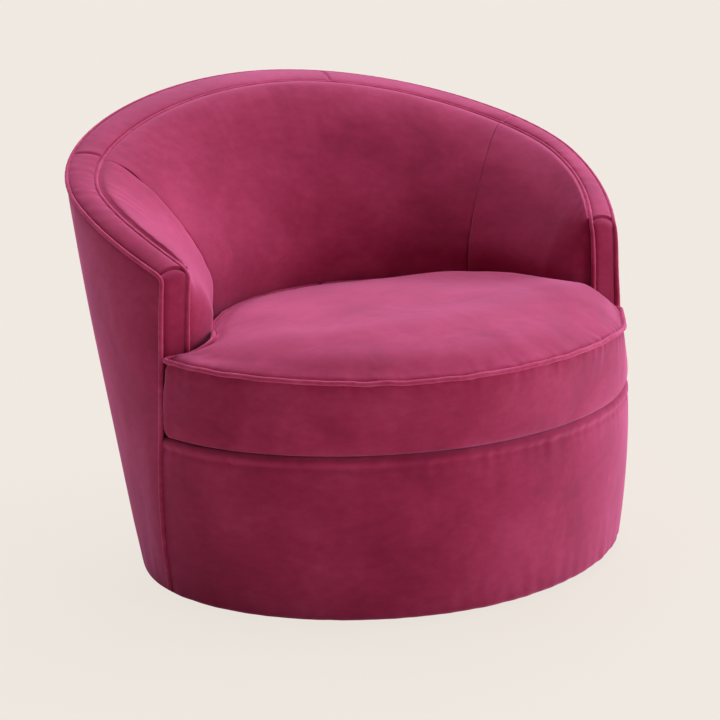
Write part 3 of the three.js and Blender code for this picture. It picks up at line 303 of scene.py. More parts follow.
# How many metres one unit of side is at the arms' ends, and where the pieces end there.
HEM_PACE = float(np.linalg.norm(hem_line(1.0) - hem_line(0.99)) / 0.01)
SKIN_END = 1 - SEWN_GAP / HEM_PACE
FRAME_END = 1 - (FACING_THICKNESS + FACING_CLEARANCE) / HEM_PACE
ARM_WIDTH = float(np.linalg.norm(inner_rim_line(1.0) - rim_line(1.0)))
LINER_DEPTH = ARM_WIDTH - WELT_GAP - LINER_CLEARANCE
ROLL_END_Y = INNER_FRONT_Y + FACING_THICKNESS + PAD_ROLL_LENGTH


# ---------------- small tools
def mix(a, b, share):
    return a + (b - a) * share


def smooth(share):
    share = np.clip(share, 0, 1)
    return share * share * (3 - 2 * share)


def through(knots, values, at):
    """A curve that goes through the values without overshooting them."""
    knots, values = np.array(knots, float), np.array(values, float)
    gaps = np.diff(knots)
    slopes = np.diff(values) / gaps
    ends = np.zeros(len(knots))
    ends[0], ends[-1] = slopes[0], slopes[-1]
    for i in range(1, len(knots) - 1):
        if slopes[i - 1] * slopes[i] > 0:
            ends[i] = 2 * slopes[i - 1] * slopes[i] / (slopes[i - 1] + slopes[i])
    at = np.asarray(at, float)
    i = np.clip(np.searchsorted(knots, at, "right") - 1, 0, len(gaps) - 1)
    t = (at - knots[i]) / gaps[i]
    rise = values[i + 1] - values[i]
    bow = t * (1 - t) * ((1 - t) * (ends[i] * gaps[i] - rise) - t * (ends[i + 1] * gaps[i] - rise))
    return values[i] + rise * t + bow


def ripple(along, depth, spacing, seed):
    """Uneven waves of about this depth, such as cloth makes where it is gathered."""
    random = np.random.default_rng(seed)
    waves = [
        np.sin(along * 2 * math.pi / (spacing * random.uniform(0.6, 1.9)) + random.uniform(0, 7))
        for _ in range(7)
    ]
    return depth * (sum(waves) / 3.2)


def unevenness(points, depth, size, seed):
    """A soft random field of about this depth, with its hills about this size apart."""
    random = np.random.default_rng(seed)
    total = 0
    for _ in range(9):
        way = random.normal(size=3)
        way *= 2 * math.pi / (size * random.uniform(0.8, 2.0) * np.linalg.norm(way))
        total = total + np.sin(points @ way + random.uniform(0, 7))
    return depth * (total / 3)


def fading(distance, reach):
    """1 at no distance, fading out with this reach."""
    return np.exp(-distance / reach)


def bell(distance, width):
    """1 at no distance, falling off like a bell to both sides."""
    return np.exp(-((distance / width) ** 2))


def distances(points):
    """How far along a line each of its points lies."""
    steps = np.linalg.norm(np.diff(points, axis=0), axis=-1)
    return np.concatenate([[0], np.cumsum(steps)])


def new_object(name, data):
    made = bpy.data.objects.new(name, data)
    bpy.context.scene.collection.objects.link(made)
    return made


def new_piece(name, points, faces, sharp=50):
    mesh = bpy.data.meshes.new(name)
    mesh.from_pydata([tuple(p) for p in np.asarray(points).reshape(-1, 3)], [], faces)
    mesh.update()
    mesh.polygons.foreach_set("use_smooth", [True] * len(mesh.polygons))
    mesh.set_sharp_from_angle(angle=math.radians(sharp))
    return new_object(name, mesh)


def lofted(name, grid, joined=False, sharp=50):
    """A closed piece through rings of points, with faces out."""
    rings, count = grid.shape[:2]
    bays = rings if joined else rings - 1
    faces = []
    for i in range(bays):
        here, after = i * count, ((i + 1) % rings) * count
        for j in range(count):
            k = (j + 1) % count
            faces.append((here + j, here + k, after + k, after + j))
    if not joined:
        faces.append(tuple(range(count))[::-1])
        faces.append(tuple((rings - 1) * count + j for j in range(count)))
    piece = new_piece(name, grid, faces, sharp)
    face_out(piece.data)
    return piece


def face_out(mesh):
    """Turns a closed mesh so that its faces look out."""
    mesh.calc_loop_triangles()
    corners = np.array([v.co for v in mesh.vertices])
    tris = np.array([t.vertices for t in mesh.loop_triangles])
    a, b, c = (corners[tris[:, i]] for i in range(3))
    if np.einsum("ij,ij->", a, np.cross(b, c)) < 0:
        mesh.flip_normals()


def tube(name, line, radius, sides=12):
    """A round cord along a line, with eased ends. The radius may change along it."""
    radius = radius.copy()
    radius[[0, -1]] *= 0.5
    ways = np.gradient(line, axis=0)
    ways /= np.linalg.norm(ways, axis=1, keepdims=True)
    across = np.cross(ways[0], [0.31, 0.2, 0.93])
    rings = []
    for point, way, size in zip(line, ways, radius):
        across = across - way * (across @ way)
        across /= np.linalg.norm(across)
        over = np.cross(way, across)
        turns = np.linspace(0, 2 * math.pi, sides, endpoint=False)
        circle = np.outer(np.cos(turns), across) + np.outer(np.sin(turns), over)
        rings.append(point + size * circle)
    return lofted(name, np.array(rings))


def spaced(line, step):
    """The line again, with points at even steps."""
    along = distances(line)
    count = max(2, int(round(along[-1] / step)) + 1)
    at = np.linspace(0, along[-1], count)
    return np.stack([np.interp(at, along, line[:, i]) for i in range(3)], -1)


def rounded(line, passes=2):
    """The line with its corners eased, its ends kept."""
    for _ in range(passes):
        line = line.copy()
        line[1:-1] = (line[:-2] + 2 * line[1:-1] + line[2:]) / 4
    return line


def finish_piece(piece, replaced, body="chair", material=None):
    piece.data.materials.append(material or velvet)
    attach(piece, body)
    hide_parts(replaced)


# ---------------- materials
def linear(code):
    """An sRGB hex colour in the linear values that shaders take."""
    parts = [int(code[i : i + 2], 16) / 255 for i in (1, 3, 5)]
    return [c / 12.92 if c <= 0.04045 else ((c + 0.055) / 1.055) ** 2.4 for c in parts] + [1.0]


def per(millimetres):
    """The texture scale at which one cell of a pattern is this big."""
    return 1000.0 / millimetres


def new_material(name):
    material = bpy.data.materials.new(name)
    material.use_nodes = True
    material.node_tree.nodes.clear()
    return material


def add(material, kind, inputs=None, **settings):
    """Adds a node, with what goes into its inputs, and its settings. An input takes a socket or
    a number, and a setting that names an input sets it."""
    node = material.node_tree.nodes.new("ShaderNode" + kind)
    for key, value in settings.items():
        if hasattr(node, key):
            setattr(node, key, value)
        else:
            node.inputs[key.replace("_", " ")].default_value = value
    for key, value in (inputs or {}).items():
        if isinstance(value, float):
            node.inputs[key].default_value = value
        else:
            material.node_tree.links.new(value, node.inputs[key])
    return node


def start_material(name):
    """A new material, and the place on the piece that its textures start from."""
    m = new_material(name)
    return m, add(m, "TexCoord").outputs["Object"]


def noise(m, place, size, **settings):
    """Cloudy noise, its clouds about this many millimetres apart."""
    return add(m, "TexNoise", {"Vector": place}, Scale=per(size), **settings).outputs["Fac"]


def tone(m, value, *stops):
    """A colour by a value, through (place, hex colour) stops."""
    ramp = add(m, "ValToRGB", {"Fac": value})
    elements = ramp.color_ramp.elements
    while len(elements) < len(stops):
        elements.new(0.5)
    for element, (place, code) in zip(elements, stops):
        element.position = place
        element.color = linear(code)
    return ramp.outputs["Color"]


def relief(m, height, strength, depth, over=None):
    """Bumps by a pattern of heights, over coarser bumps if there are any."""
    inputs = {"Height": height} if over is None else {"Height": height, "Normal": over}
    return add(m, "Bump", inputs, Strength=strength, Distance=depth).outputs[0]


def finish_material(m, colour, rough, bumps, **settings):
    shader = add(m, "BsdfPrincipled",
                 {"Base Color": colour, "Roughness": rough, "Normal": bumps}, **settings)
    add(m, "OutputMaterial", {"Surface": shader.outputs[0]})
    return m


def velvet_pile(name, dark, middle, bright, patch=120, lean=0.3):
    """Cotton velvet: a short cut pile that looks deep where it is seen end on, glows at a
    grazing angle, and shows brushed patches where the pile leans another way."""
    m, place = start_material(name)
    # Brushed patches, as hands and use leave them: about 120 mm across.
    patches = noise(m, place, patch, Detail=3.0, Roughness=0.5, Distortion=0.3)
    # Smaller mottles, 22 mm across and drawn out level, where single rows of pile lean.
    stretched = add(m, "Mapping", {"Vector": place}, Scale=(1.0, 1.0, 1.7)).outputs[0]
    mottles = noise(m, stretched, 22, Detail=3.0, Roughness=0.55)
    # The pile is 0.3 mm from tuft to tuft, too fine to show, so it is drawn at 1.6 mm.
    tufts = noise(m, place, 1.6, Detail=2.0, Roughness=0.7)
    total = patches
    for part, share in ((mottles, 0.45), (tufts, 0.3)):
        total = add(m, "Math", {0: part, 1: share, 2: total}, operation="MULTIPLY_ADD").outputs[0]
    spread = add(m, "MapRange", {"Value": total}, From_Min=0.56, From_Max=1.19)
    colour = tone(m, spread.outputs["Result"], (0.0, dark), (0.5, middle), (1.0, bright))
    rough = add(m, "MapRange", {"Value": mottles}, To_Min=0.72, To_Max=0.95)
    # The leaning pile tips the light a little from patch to patch.
    hills = relief(m, patches, lean, 0.012)
    rows = relief(m, mottles, 0.12, 0.0014, hills)
    pile = relief(m, tufts, 0.3, 0.0006, rows)
    return finish_material(m, colour, rough.outputs["Result"], pile,
                           Sheen_Weight=1.0, Sheen_Roughness=0.5, Sheen_Tint=linear("#ff98d2"),
                           Specular_IOR_Level=0.1)


def veneer(name, light, dark, ply, grain=5.0, rough=0.62):
    """Wood: a matt sawn surface with long grain, and level glue lines if it is plywood."""
    m, place = start_material(name)
    long = add(m, "Mapping", {"Vector": place}, Scale=(0.12, 1.0, 1.0)).outputs[0]
    # Growth lines a few millimetres apart, drawn out along the board.
    grains = noise(m, long, grain, Detail=6.0, Roughness=0.6, Distortion=0.7)
    colour = tone(m, grains, (0.3, dark), (0.7, light))
    if ply:
        # Glue lines every 1.5 mm through the thickness.
        lines = add(m, "TexWave", {"Vector": place}, wave_type="BANDS",
                    bands_direction="Z", Scale=per(1.5) / 20, Distortion=0.4).outputs["Fac"]
        edges = add(m, "MapRange", {"Value": lines}, From_Min=0.0, From_Max=0.25,
                    To_Min=0.72, To_Max=1.0).outputs["Result"]
        colour = add(m, "VectorMath", {0: colour, 1: edges}, operation="MULTIPLY").outputs[0]
    return finish_material(m, colour, rough, relief(m, grains, 0.3, 0.0008))


def steel(name, dark, light, rough, spangle=12.0):
    """Steel sheet or wire: a metal grey, clouded by its plating or oil, with fine scratches."""
    m, place = start_material(name)
    # Clouds as wide as the zinc's crystals or the oil's patches, 5 to 12 mm.
    clouds = noise(m, place, spangle, Detail=4.0)
    shade = tone(m, clouds, (0.3, dark), (0.7, light))
    gloss = add(m, "MapRange", {"Value": clouds}, To_Min=rough, To_Max=rough + 0.15)
    # Scratches from handling are finer than 0.1 mm, and drawn at 0.8 mm to show.
    scratches = relief(m, noise(m, place, 0.8, Detail=2.0), 0.08, 0.0002)
    return finish_material(m, shade, gloss.outputs["Result"], scratches, Metallic=1.0)


def plain(name, light, dark, cell, rough, bump_depth, woven=False):
    """A matt surface with an even fine structure: foam cells, fibres, a weave or moulding.
    The cell is its size in millimetres, drawn about twice as coarse as the real one."""
    m, place = start_material(name)
    if woven:
        pattern = add(m, "TexChecker", {"Vector": place}, Scale=per(cell)).outputs["Fac"]
    else:
        pattern = add(m, "TexVoronoi", {"Vector": place}, Scale=per(cell),
                      feature="F1").outputs["Distance"]
    wide = noise(m, place, 60, Detail=3.0)
    both = add(m, "Math", {0: pattern, 1: wide}, operation="MULTIPLY").outputs[0]
    colour = tone(m, both, (0.05, dark), (0.55, light))
    return finish_material(m, colour, rough, relief(m, pattern, 0.4, bump_depth))


# Dyed cotton velvet, brushed every way in use: deep in the hollows, pale along raised edges.
velvet = velvet_pile("fuchsia cotton velvet", "#8c1a3e", "#a62952", "#b83b65")
# The same cloth cut slantwise and drawn tight on a cord, in lighter colours that are painted
# highlight: the light that catches along the cords' tops.
welt_velvet_painted_highlight = velvet_pile("bias-cut velvet, lightened as painted highlight", "#a3284e", "#bd3a65", "#cd4e7a", patch=40)
# Peeled veneers, glued and sanded: pale, with a wide quiet grain and dark lines at the edge.
birch_plywood = veneer("birch plywood", "#d9b98a", "#c19c68", ply=True)
# Sawn and left rough: a pinkish brown with fine straight flecks.
beech = veneer("sawn beech", "#cfa077", "#b5835a", ply=False, grain=4.0)
# Wood fibres pressed hard and bent: an even dull brown.
bent_board = veneer("bent fibreboard", "#9c7650", "#84603e", ply=False, grain=1.5, rough=0.8)
# Pressed sheet, zinc plated: a cool grey with faint clouds and a soft shine.
zinc_steel = steel("zinc-plated steel", "#a9adb2", "#c6cad0", 0.32)
# Drawn wire under a film of oil: darker, with a tighter shine along its bends.
spring_steel = steel("oiled spring steel", "#55585e", "#74777d", 0.38, spangle=5.0)
# A sawn block of open cells: cream, matt and finely pitted.
cushion_foam = plain("cut polyurethane foam", "#e9dfc0", "#cbbd92", 2.2, 0.95, 0.0008)
# A plain tight weave, dyed to the velvet: dull, with no pile to catch the light.
deck_cloth = plain("plum decking cloth", "#5a2238", "#431628", 1.4, 0.9, 0.0003, woven=True)
# Fibres laid and bonded hot: thin, black and dull, with a fine speckle.
cambric = plain("black spunbond cambric", "#2b2a2c", "#1b1a1c", 1.8, 0.85, 0.0003)
# Moulded in a smooth tool: near black, even, with a satin shine.
nylon = plain("moulded nylon", "#2f2f31", "#242426", 3.0, 0.45, 0.0001)
# Woven polyester tape, dyed to the velvet: flat and a little ribbed.
zip_tape = plain("dyed zip tape", "#7c2549", "#5f1737", 1.2, 0.8, 0.0003, woven=True)


# ---------------- the camera and the light
EYE = Vector((-1.71635, -3.27750, 1.41111))
VIEW_RIGHT = Vector((0.88681, -0.46214, 0.0))
VIEW_UP = Vector((0.13027, 0.24998, 0.95945))
VIEW_WAY = Vector((0.44340, 0.85085, -0.28189))
LENS = 107.79
BACKDROP = "#f0e9e1"
FLOOR_GLOW = 0.92
ROOM_LEVEL = 0.04
# Soft lamps: bearing from the chair's front towards its right, height in degrees, strength.
LAMPS = {
    "front_right": (40, 15, 0.80),
    "right": (83, 15, 1.58),
    "back_right": (140, 45, 1.34),
    "high_right": (100, 70, 0.80),
    "high_behind": (200, 70, 0.84),
}
LAMP_SOFTNESS = 35


def make_camera():
    """The photo's own camera, as recovered from its ovals and upright edges."""
    data = bpy.data.cameras.new("camera")
    data.lens = LENS
    data.sensor_width = 36
    camera = new_object("camera", data)
    turn = Matrix((VIEW_RIGHT, VIEW_UP, -VIEW_WAY)).transposed().to_4x4()
    camera.matrix_world = Matrix.Translation(EYE) @ turn
    bpy.context.scene.camera = camera


def rays_that_see(owner):
    """1 for the rays that show the backdrop: the camera's own, and those in gloss and glass."""
    ray = add(owner, "LightPath")
    seen = ray.outputs["Is Camera Ray"]
    for kind in ("Is Glossy Ray", "Is Transmission Ray"):
        both = add(owner, "Math", {0: seen, 1: ray.outputs[kind]}, operation="MAXIMUM")
        seen = both.outputs[0]
    return seen


def make_floor():
    """A pale studio floor. The camera sees mostly its plain colour, under the shadow."""
    reach = 9.0
    floor = new_piece(
        "studio_floor",
        [(-reach, -reach, 0), (reach, -reach, 0), (reach, reach, 0), (-reach, reach, 0)],
        [(0, 1, 2, 3)],
    )
    m = new_material("pale studio floor")
    seen = add(m, "Math", {0: rays_that_see(m), 1: FLOOR_GLOW}, operation="MULTIPLY")
    matt = add(m, "BsdfDiffuse", Color=linear(BACKDROP))
    glow = add(m, "Emission", Color=linear(BACKDROP), Strength=1.0)
    both = add(m, "MixShader", {0: seen.outputs[0], 1: matt.outputs[0], 2: glow.outputs[0]})
    add(m, "OutputMaterial", {"Surface": both.outputs[0]})
    floor.data.materials.append(m)


def make_lamps():
    for name, (bearing, rise, strength) in LAMPS.items():
        turn, tilt = math.radians(bearing), math.radians(rise)
        source = Vector((math.cos(tilt) * math.sin(turn), -math.cos(tilt) * math.cos(turn),
                         math.sin(tilt)))
        data = bpy.data.lights.new(name, "SUN")
        data.energy = strength
        data.angle = math.radians(LAMP_SOFTNESS)
        lamp = new_object(name, data)
        lamp.rotation_mode = "QUATERNION"
        lamp.rotation_quaternion = source.to_track_quat("Z", "Y")


def make_light():
    make_lamps()
    world = bpy.data.worlds.new("studio")
    bpy.context.scene.world = world
    world.use_nodes = True
    world.node_tree.nodes.clear()
    room = add(world, "Background", Color=linear("#fff8f2"), Strength=ROOM_LEVEL)
    backdrop = add(world, "Background", Color=linear(BACKDROP), Strength=1.0)
    both = add(world, "MixShader",
               {0: rays_that_see(world), 1: room.outputs[0], 2: backdrop.outputs[0]})
    add(world, "OutputWorld", {"Surface": both.outputs[0]})
    bpy.context.scene.view_settings.view_transform = "Standard"


# ---------------- outside covers
def tuck_profile(thickness):
    """Depths and heights round the hem: a quarter round under the edge, then a lip inwards."""
    centre = HEM_HEIGHT + TUCK_RADIUS
    radius = TUCK_RADIUS - thickness
    turns = np.linspace(0, math.pi / 2, 7)
    depth = SKIN_INSET + TUCK_RADIUS - radius * np.cos(turns)
    height = centre - radius * np.sin(turns)
    lip = [SKIN_INSET + TUCK_RADIUS + TUCK_LIP, HEM_HEIGHT + thickness]
    return np.vstack([np.stack([depth, height], -1), lip])


def make_outside_back():
    """The cover round the back and arms: smooth velvet over board, with slight pull lines."""
    between = np.linspace(-FRAME_END, FRAME_END, WALL_STATIONS)
    sides = np.concatenate([[-SKIN_END], between, [SKIN_END]])
    outer, inner = tuck_profile(0), tuck_profile(SKIN_THICKNESS)[::-1]
    shares = np.linspace(0, 1, 64) ** 1.3
    low = HEM_HEIGHT + TUCK_RADIUS
    rings = []
    for side in sides:
        corner = CORNER_RADIUS / 2 if abs(side) > FRAME_END else 0
        top = float(band_height(side, 0, SEWN_GAP + corner))
        heights = top + (low - top) * shares
        # The cover dips in beside the welt, where the staples draw it down.
        dip = STAPLE_DIP * fading(top - heights, STAPLE_REACH)
        face = wall_point(side, heights, SKIN_INSET + dip)
        back = wall_point(side, heights, SKIN_INSET + SKIN_THICKNESS)[::-1]
        tucks = [wall_point(side, p[:, 1], p[:, 0]) for p in (outer[1:], inner[:-1])]
        rings.append(np.vstack([face, *tucks, back]))
    grid = np.array(rings)
    count = len(shares)
    ways = inward(sides)[:, None, :]
    edge = np.minimum(smooth(shares / 0.12), smooth((1 - shares) / 0.12))[None, :]
    along = distances(grid[:, count // 2])[:, None]
    pull = unevenness(grid[:, :count], *BACK_PULL)
    hem = ripple(along, *BACK_HEM_GATHER) * fading(grid[:, :count, 2] - low, 0.035)
    grid[:, :count] -= ways * (pull * edge + hem * smooth((1 - shares) / 0.03))[..., None]
    # Beside the welts the cover swells out with the drum, and its edge comes forward.
    from_welt = ((SKIN_END - np.abs(sides)) * HEM_PACE)[:, None]
    above_hem = smooth((1 - shares) / 0.05)
    swell = np.linalg.norm(edge_flare(grid[:, :count, 2]), axis=-1)
    grid[:, :count] -= ways * (swell * bell(from_welt, 0.045) * above_hem)[..., None]
    forward = edge_flare(grid[:, :count, 2])[..., 1]
    grid[:, :count, 1] += forward * bell(from_welt, 0.006) * above_hem
    finish_piece(lofted("outside_back_cover", grid), "outside_back")


def drum_point(turn, height, depth):
    """A point of the drum below the crease, this deep inside its face."""
    turn, height, depth = np.broadcast_arrays(turn, height, depth)
    share = (height - HEM_HEIGHT) / (CREASE_HEIGHT - HEM_HEIGHT)
    swell = 4 * DRUM_BULGE * share * (1 - share) - depth
    half_width = mix(HEM_HALF_WIDTH, CREASE_HALF_WIDTH, share) + swell
    half_depth = mix(HEM_HALF_DEPTH, CREASE_HALF_DEPTH, share) + swell
    return drum_oval(turn, half_width, half_depth, height)


def make_front_panel():
    """The drum's front: velvet from the rolled lip under the cushion down to the hem."""
    end = 1 - SEWN_GAP / (HEM_HALF_WIDTH * (math.pi - HEM_END_TURN))
    across = np.linspace(-end, end, WALL_STATIONS)
    turns = math.pi - across * (math.pi - HEM_END_TURN)
    lip_top = CREASE_HEIGHT - SEAT_GAP
    heights = lip_top - LIP_RADIUS - (lip_top - LIP_RADIUS - HEM_HEIGHT - TUCK_RADIUS) * (
        np.linspace(0, 1, 64) ** 1.5
    )
    bends = np.linspace(math.pi / 2, 0, 6)
    lip_depth = SKIN_INSET + LIP_RADIUS * (1 - np.cos(bends))
    lip_height = lip_top - LIP_RADIUS * (1 - np.sin(bends))
    border = np.array([[SKIN_INSET + LIP_RADIUS + DECK_BORDER, lip_top]])
    face = np.stack([np.full(len(heights), SKIN_INSET), heights], -1)
    outer = np.vstack([border, np.stack([lip_depth, lip_height], -1)[:-1], face,
                       tuck_profile(0)[1:]])
    inside = np.array([
        *tuck_profile(SKIN_THICKNESS)[::-1],
        [SKIN_INSET + SKIN_THICKNESS, mix(HEM_HEIGHT, CREASE_HEIGHT, 0.5)],
        [SKIN_INSET + SKIN_THICKNESS, lip_top - LIP_RADIUS],
        [SKIN_INSET + LIP_RADIUS, lip_top - SKIN_THICKNESS],
        [SKIN_INSET + LIP_RADIUS + DECK_BORDER, lip_top - SKIN_THICKNESS],
    ])
    profile = np.vstack([outer, inside])
    grid = drum_point(turns[:, None], profile[None, :, 1], profile[None, :, 0])
    seen = slice(0, len(outer))
    ways = level(grid[:, seen] - np.array([0, DRUM_CENTRE_Y, 0]))
    along = distances(grid[:, 30])[:, None]
    height = grid[:, seen, 2]
    middle = smooth((height - 0.03) / 0.05) * smooth((lip_top - height) / 0.02)
    pull = unevenness(grid[:, seen], *PANEL_PULL)
    hem = ripple(along, *PANEL_HEM_GATHER) * fading(np.maximum(height - 0.022, 0), 0.03)
    below_lip = np.maximum(lip_top - 0.01 - height, 0)
    crease = ripple(along, *CREASE_GATHER) * fading(below_lip, 0.02)
    ends = smooth((end - np.abs(across)) / 0.04)[:, None]
    # The velvet rolls over the rail under the cushion, and is drawn in below the roll.
    down = lip_top - height
    roll = LIP_ROLL * bell(down - LIP_ROLL_DOWN, LIP_ROLL_WIDTH)
    drawn = -LIP_DIP * bell(down - LIP_DIP_DOWN, LIP_DIP_WIDTH)
    shift = (pull * middle + hem + crease * middle) * ends + roll + drawn
    grid[:, seen] += ways * shift[..., None]
    finish_piece(lofted("front_panel_cover", grid), "front_panel")


# ---------------- inside pads
def roll_share(side):
    """0 at the facing, rising to 1 by a quarter round where the pad has rolled in."""
    run = np.minimum(1, (FRAME_END - np.abs(side)) * HEM_PACE / PAD_ROLL_LENGTH)
    return np.sqrt(np.maximum(0, 1 - (1 - run) ** 2))


def liner_point(side, share, depth):
    top = under_band(side, LINER_DEPTH, BAND_THICKNESS + LINER_DROP)
    behind = tub_line(side) - inward(side) * LINER_SETBACK
    foot = mix(wall_point(side, SEAT_RING_TOP, LINER_DEPTH), behind, roll_share(side))
    foot[2] = SEAT_RING_TOP + SEAT_GAP
    return mix(top, foot, share) + inward(side) * depth


def swell_share(side):
    return float(smooth((FRAME_END - abs(side)) * HEM_PACE / 0.03))


# A pad's roll in section, from the groove at its welt to its fullest line: the shares of the way
# out and of the way down, along a cubic curve.
ROLL_TURNS = np.linspace(0, 1, 40) ** 1.3
ROLL_EARLY = 3 * ROLL_TURNS * (1 - ROLL_TURNS) ** 2
ROLL_LATE = 3 * ROLL_TURNS**2 * (1 - ROLL_TURNS)
ROLL_OUT = ROLL_EARLY * 0.3 + ROLL_LATE + ROLL_TURNS**3
ROLL_DOWN = ROLL_LATE * 0.7 + ROLL_TURNS**3


def pad_section(side, puff):
    """One ring of an inside pad: from the welt over its crown, down to the deck and back up."""
    across = inward(side)
    edge = inner_rim_line(side) + across * SEWN_GAP
    groove = edge + across * PAD_GROOVE
    # The wadding stands up beside the welt, most of all on the arms.
    arm = float(smooth((abs(side) - 0.5) / 0.3))
    stand = (PAD_STAND + ARM_PAD_STAND * arm) * swell_share(side)
    fullest = tub_line(side)
    swell = float(roll_share(side))

    def lean(height):
        shift = wall_point(side, height, 0.0) - wall_point(side, edge[2], 0.0)
        return shift * IN_PLAN * (1 - swell)

    inner = [edge]
    for out, down in zip(ROLL_OUT[1:], ROLL_DOWN[1:]):
        height = mix(edge[2], TUB_HEIGHT, down)
        crown = PAD_CROWN * puff * swell - SEAM_DEPTH * (1 - puff) * out
        point = mix(groove, fullest, out * swell) + across * crown * out + lean(height)
        run = out / PAD_STAND_RUN
        puff_up = stand * run * math.exp(1 - run) * puff**0.5
        inner.append([point[0], point[1], height + puff_up])
    low = np.array(inner[-1]) - lean(TUB_HEIGHT)
    for share in np.linspace(0.1, 1, 12):
        height = mix(TUB_HEIGHT, DECK_UNDERSIDE, share)
        point = low - across * PAD_UNDERCUT * share * swell + lean(height)
        inner.append([point[0], point[1], height])
    lift = (DECK_UNDERSIDE - SEAT_RING_TOP - SEAT_GAP) / (edge[2] - SEAT_RING_TOP)
    foot = liner_point(side, 1 - lift, PAD_BACK)
    foot[2] = DECK_UNDERSIDE
    top_inside = liner_point(side, 0, PAD_BACK) - up(CLOTH_GAP)
    under_welt = inner_rim_line(side) - up(BAND_THICKNESS + CLOTH_GAP)
    return np.array([*inner, foot, top_inside, under_welt, edge - up(WELT_RADIUS)])


def make_pad(name, sides, puffs, seed):
    grid = np.array([pad_section(s, p) for s, p in zip(sides, puffs)])
    seen = len(ROLL_TURNS) + 12
    ways = inward(np.array(sides))[:, None, :]
    along = distances(grid[:, 0])[:, None]
    down = np.arange(seen)[None, :] / (seen - 1)
    edge = smooth(down / 0.06)
    # Short gathers under the welt, and the soft unevenness of hand-stuffed wadding.
    gathers = ripple(along, *PAD_GATHER, seed) * fading(down, 0.16) * edge
    body = unevenness(grid[:, :seen], *PAD_STUFFING, seed + 1) * smooth(down / 0.25)
    from_seam = np.minimum(along, along[-1] - along)
    tension = ripple(grid[:, :seen, 2], *PAD_TENSION, seed + 2) * fading(from_seam, 0.02) * edge
    fade = smooth(roll_share(np.array(sides)) / 0.6)[:, None]
    grid[:, :seen] += ways * ((gathers + body + tension) * fade)[..., None]
    return lofted(name, grid)


def make_pads():
    seam = SEAM_GAP / HEM_PACE
    back_end = SEAM_SHARE - seam
    middle = np.linspace(-1, 1, 150)
    middle = back_end * np.sign(middle) * (1 - (1 - np.abs(middle)) ** 1.25)
    puffs = np.sqrt(1 - np.minimum(1, np.abs(middle) / back_end) ** 4)
    back = make_pad("back_pad_cover", middle, puffs, BACK_PAD_SEED)
    finish_piece(back, "inside_back_pad")
    start = SEAM_SHARE + seam
    runs = np.linspace(0, 1, 80)
    runs = np.unique(np.concatenate([1 - (1 - runs) ** 1.5, runs**1.5 * 0.12]))
    for way, name in ((-1, "left"), (1, "right")):
        sides = way * (start + (FRAME_END - start) * runs)
        pad_puffs = np.sqrt(np.maximum(0, 1 - (1 - runs) ** 6))
        pad = make_pad(f"arm_pad_cover_{name}", sides, pad_puffs, ARM_PAD_SEED + way)
        finish_piece(pad, f"inside_arm_pad_{name}")


# ---------------- band, facings and welts
def make_band():
    """The crowned strip along the top, sewn from four lengths, gathered at the arms."""
    sides = np.linspace(-FRAME_END, FRAME_END, WALL_STATIONS)
    near = np.linspace(-0.006, 0.006, 13) / HEM_PACE
    sides = np.unique(np.concatenate([sides, *[join + near for join in BAND_JOINS]]))
    shares = (1 - np.cos(np.linspace(0, math.pi, 21))) / 2
    outer, inner = rim_line(sides), inner_rim_line(sides)
    width = np.linalg.norm((inner - outer)[:, :2], axis=1)[:, None]
    along = distances(mix(outer, inner, 0.5))[:, None]
    margin = SEWN_GAP / width
    place = margin + (1 - 2 * margin) * shares[None, :]
    top = outer[:, None] + (inner - outer)[:, None] * place[..., None]
    full = 4 * shares * (1 - shares)
    crown = BAND_CROWN * full**0.5
    from_join = [np.abs(sides - join) * HEM_PACE for join in BAND_JOINS]
    join = sum(bell(far, BAND_JOIN_WIDTH) for far in from_join)[:, None]
    beside = sum(bell(far - 0.006, 0.008) for far in from_join)[:, None]
    arm = fading(along[-1] - along, 0.06) + fading(along, 0.06)
    bends = bell(np.abs(sides) - 0.72, 0.16)[:, None]
    folds = ripple(along + 0.01 * shares, *BAND_FOLD) * (0.3 + 0.9 * arm + 0.8 * bends)
    edges = fading(shares, 0.22) + fading(1 - shares, 0.22)
    rise = crown + folds * edges * smooth(full / 0.3)
    rise = rise - BAND_JOIN_DIP * join * smooth(full / 0.2) + BAND_JOIN_PUFF * beside * full
    top[..., 2] += rise
    low = mix(inner, outer, margin) - up(BAND_THICKNESS)
    under = under_band(sides, 0.009, BAND_THICKNESS)
    grid = np.concatenate([top, low[:, None], under[:, None]], axis=1)
    finish_piece(lofted("top_band_cover", grid), "top_band")


def make_facings():
    """Flat panels on the arms' fronts, a little crowned between their welts."""
    low = CREASE_HEIGHT + WELT_GAP
    near = SKIN_INSET + SKIN_THICKNESS
    far = ARM_WIDTH - SEWN_GAP
    shares = np.linspace(0, 1, 13)
    depths = mix(near, far, shares)
    for way, name in ((-1, "left"), (1, "right")):
        rings = []
        for rise in np.linspace(0, 1, 60):
            edge = np.maximum(fading(shares, 0.08), fading(1 - shares, 0.08))
            sewn = FACING_EDGE * edge + FACING_TOP_EDGE * fading(1 - rise, 0.012)
            face = 1 + (FACING_CROWN * (1 - edge) - sewn) / HEM_PACE
            back = np.full(len(shares), 1 - FACING_THICKNESS / HEM_PACE)
            rows = []
            for run, depth in ((face, depths), (back[::-1], depths[::-1])):
                crown = 4 * BAND_CROWN * (depth - near) * (far - depth) / (far - near) ** 2
                top = band_height(way * run, depth, FACING_DROP) + crown
                rows.append(wall_point(way * run, mix(low, top, rise), depth))
            rings.append(np.vstack(rows))
        facing = lofted(f"arm_facing_cover_{name}", np.array(rings))
        finish_piece(facing, f"arm_facing_{name}")


def bend(a, b, c, count):
    """A curve from a to c that is drawn towards b."""
    t = np.linspace(0, 1, count + 1)[:, None]
    return a * (1 - t) ** 2 + 2 * b * t * (1 - t) + c * t**2


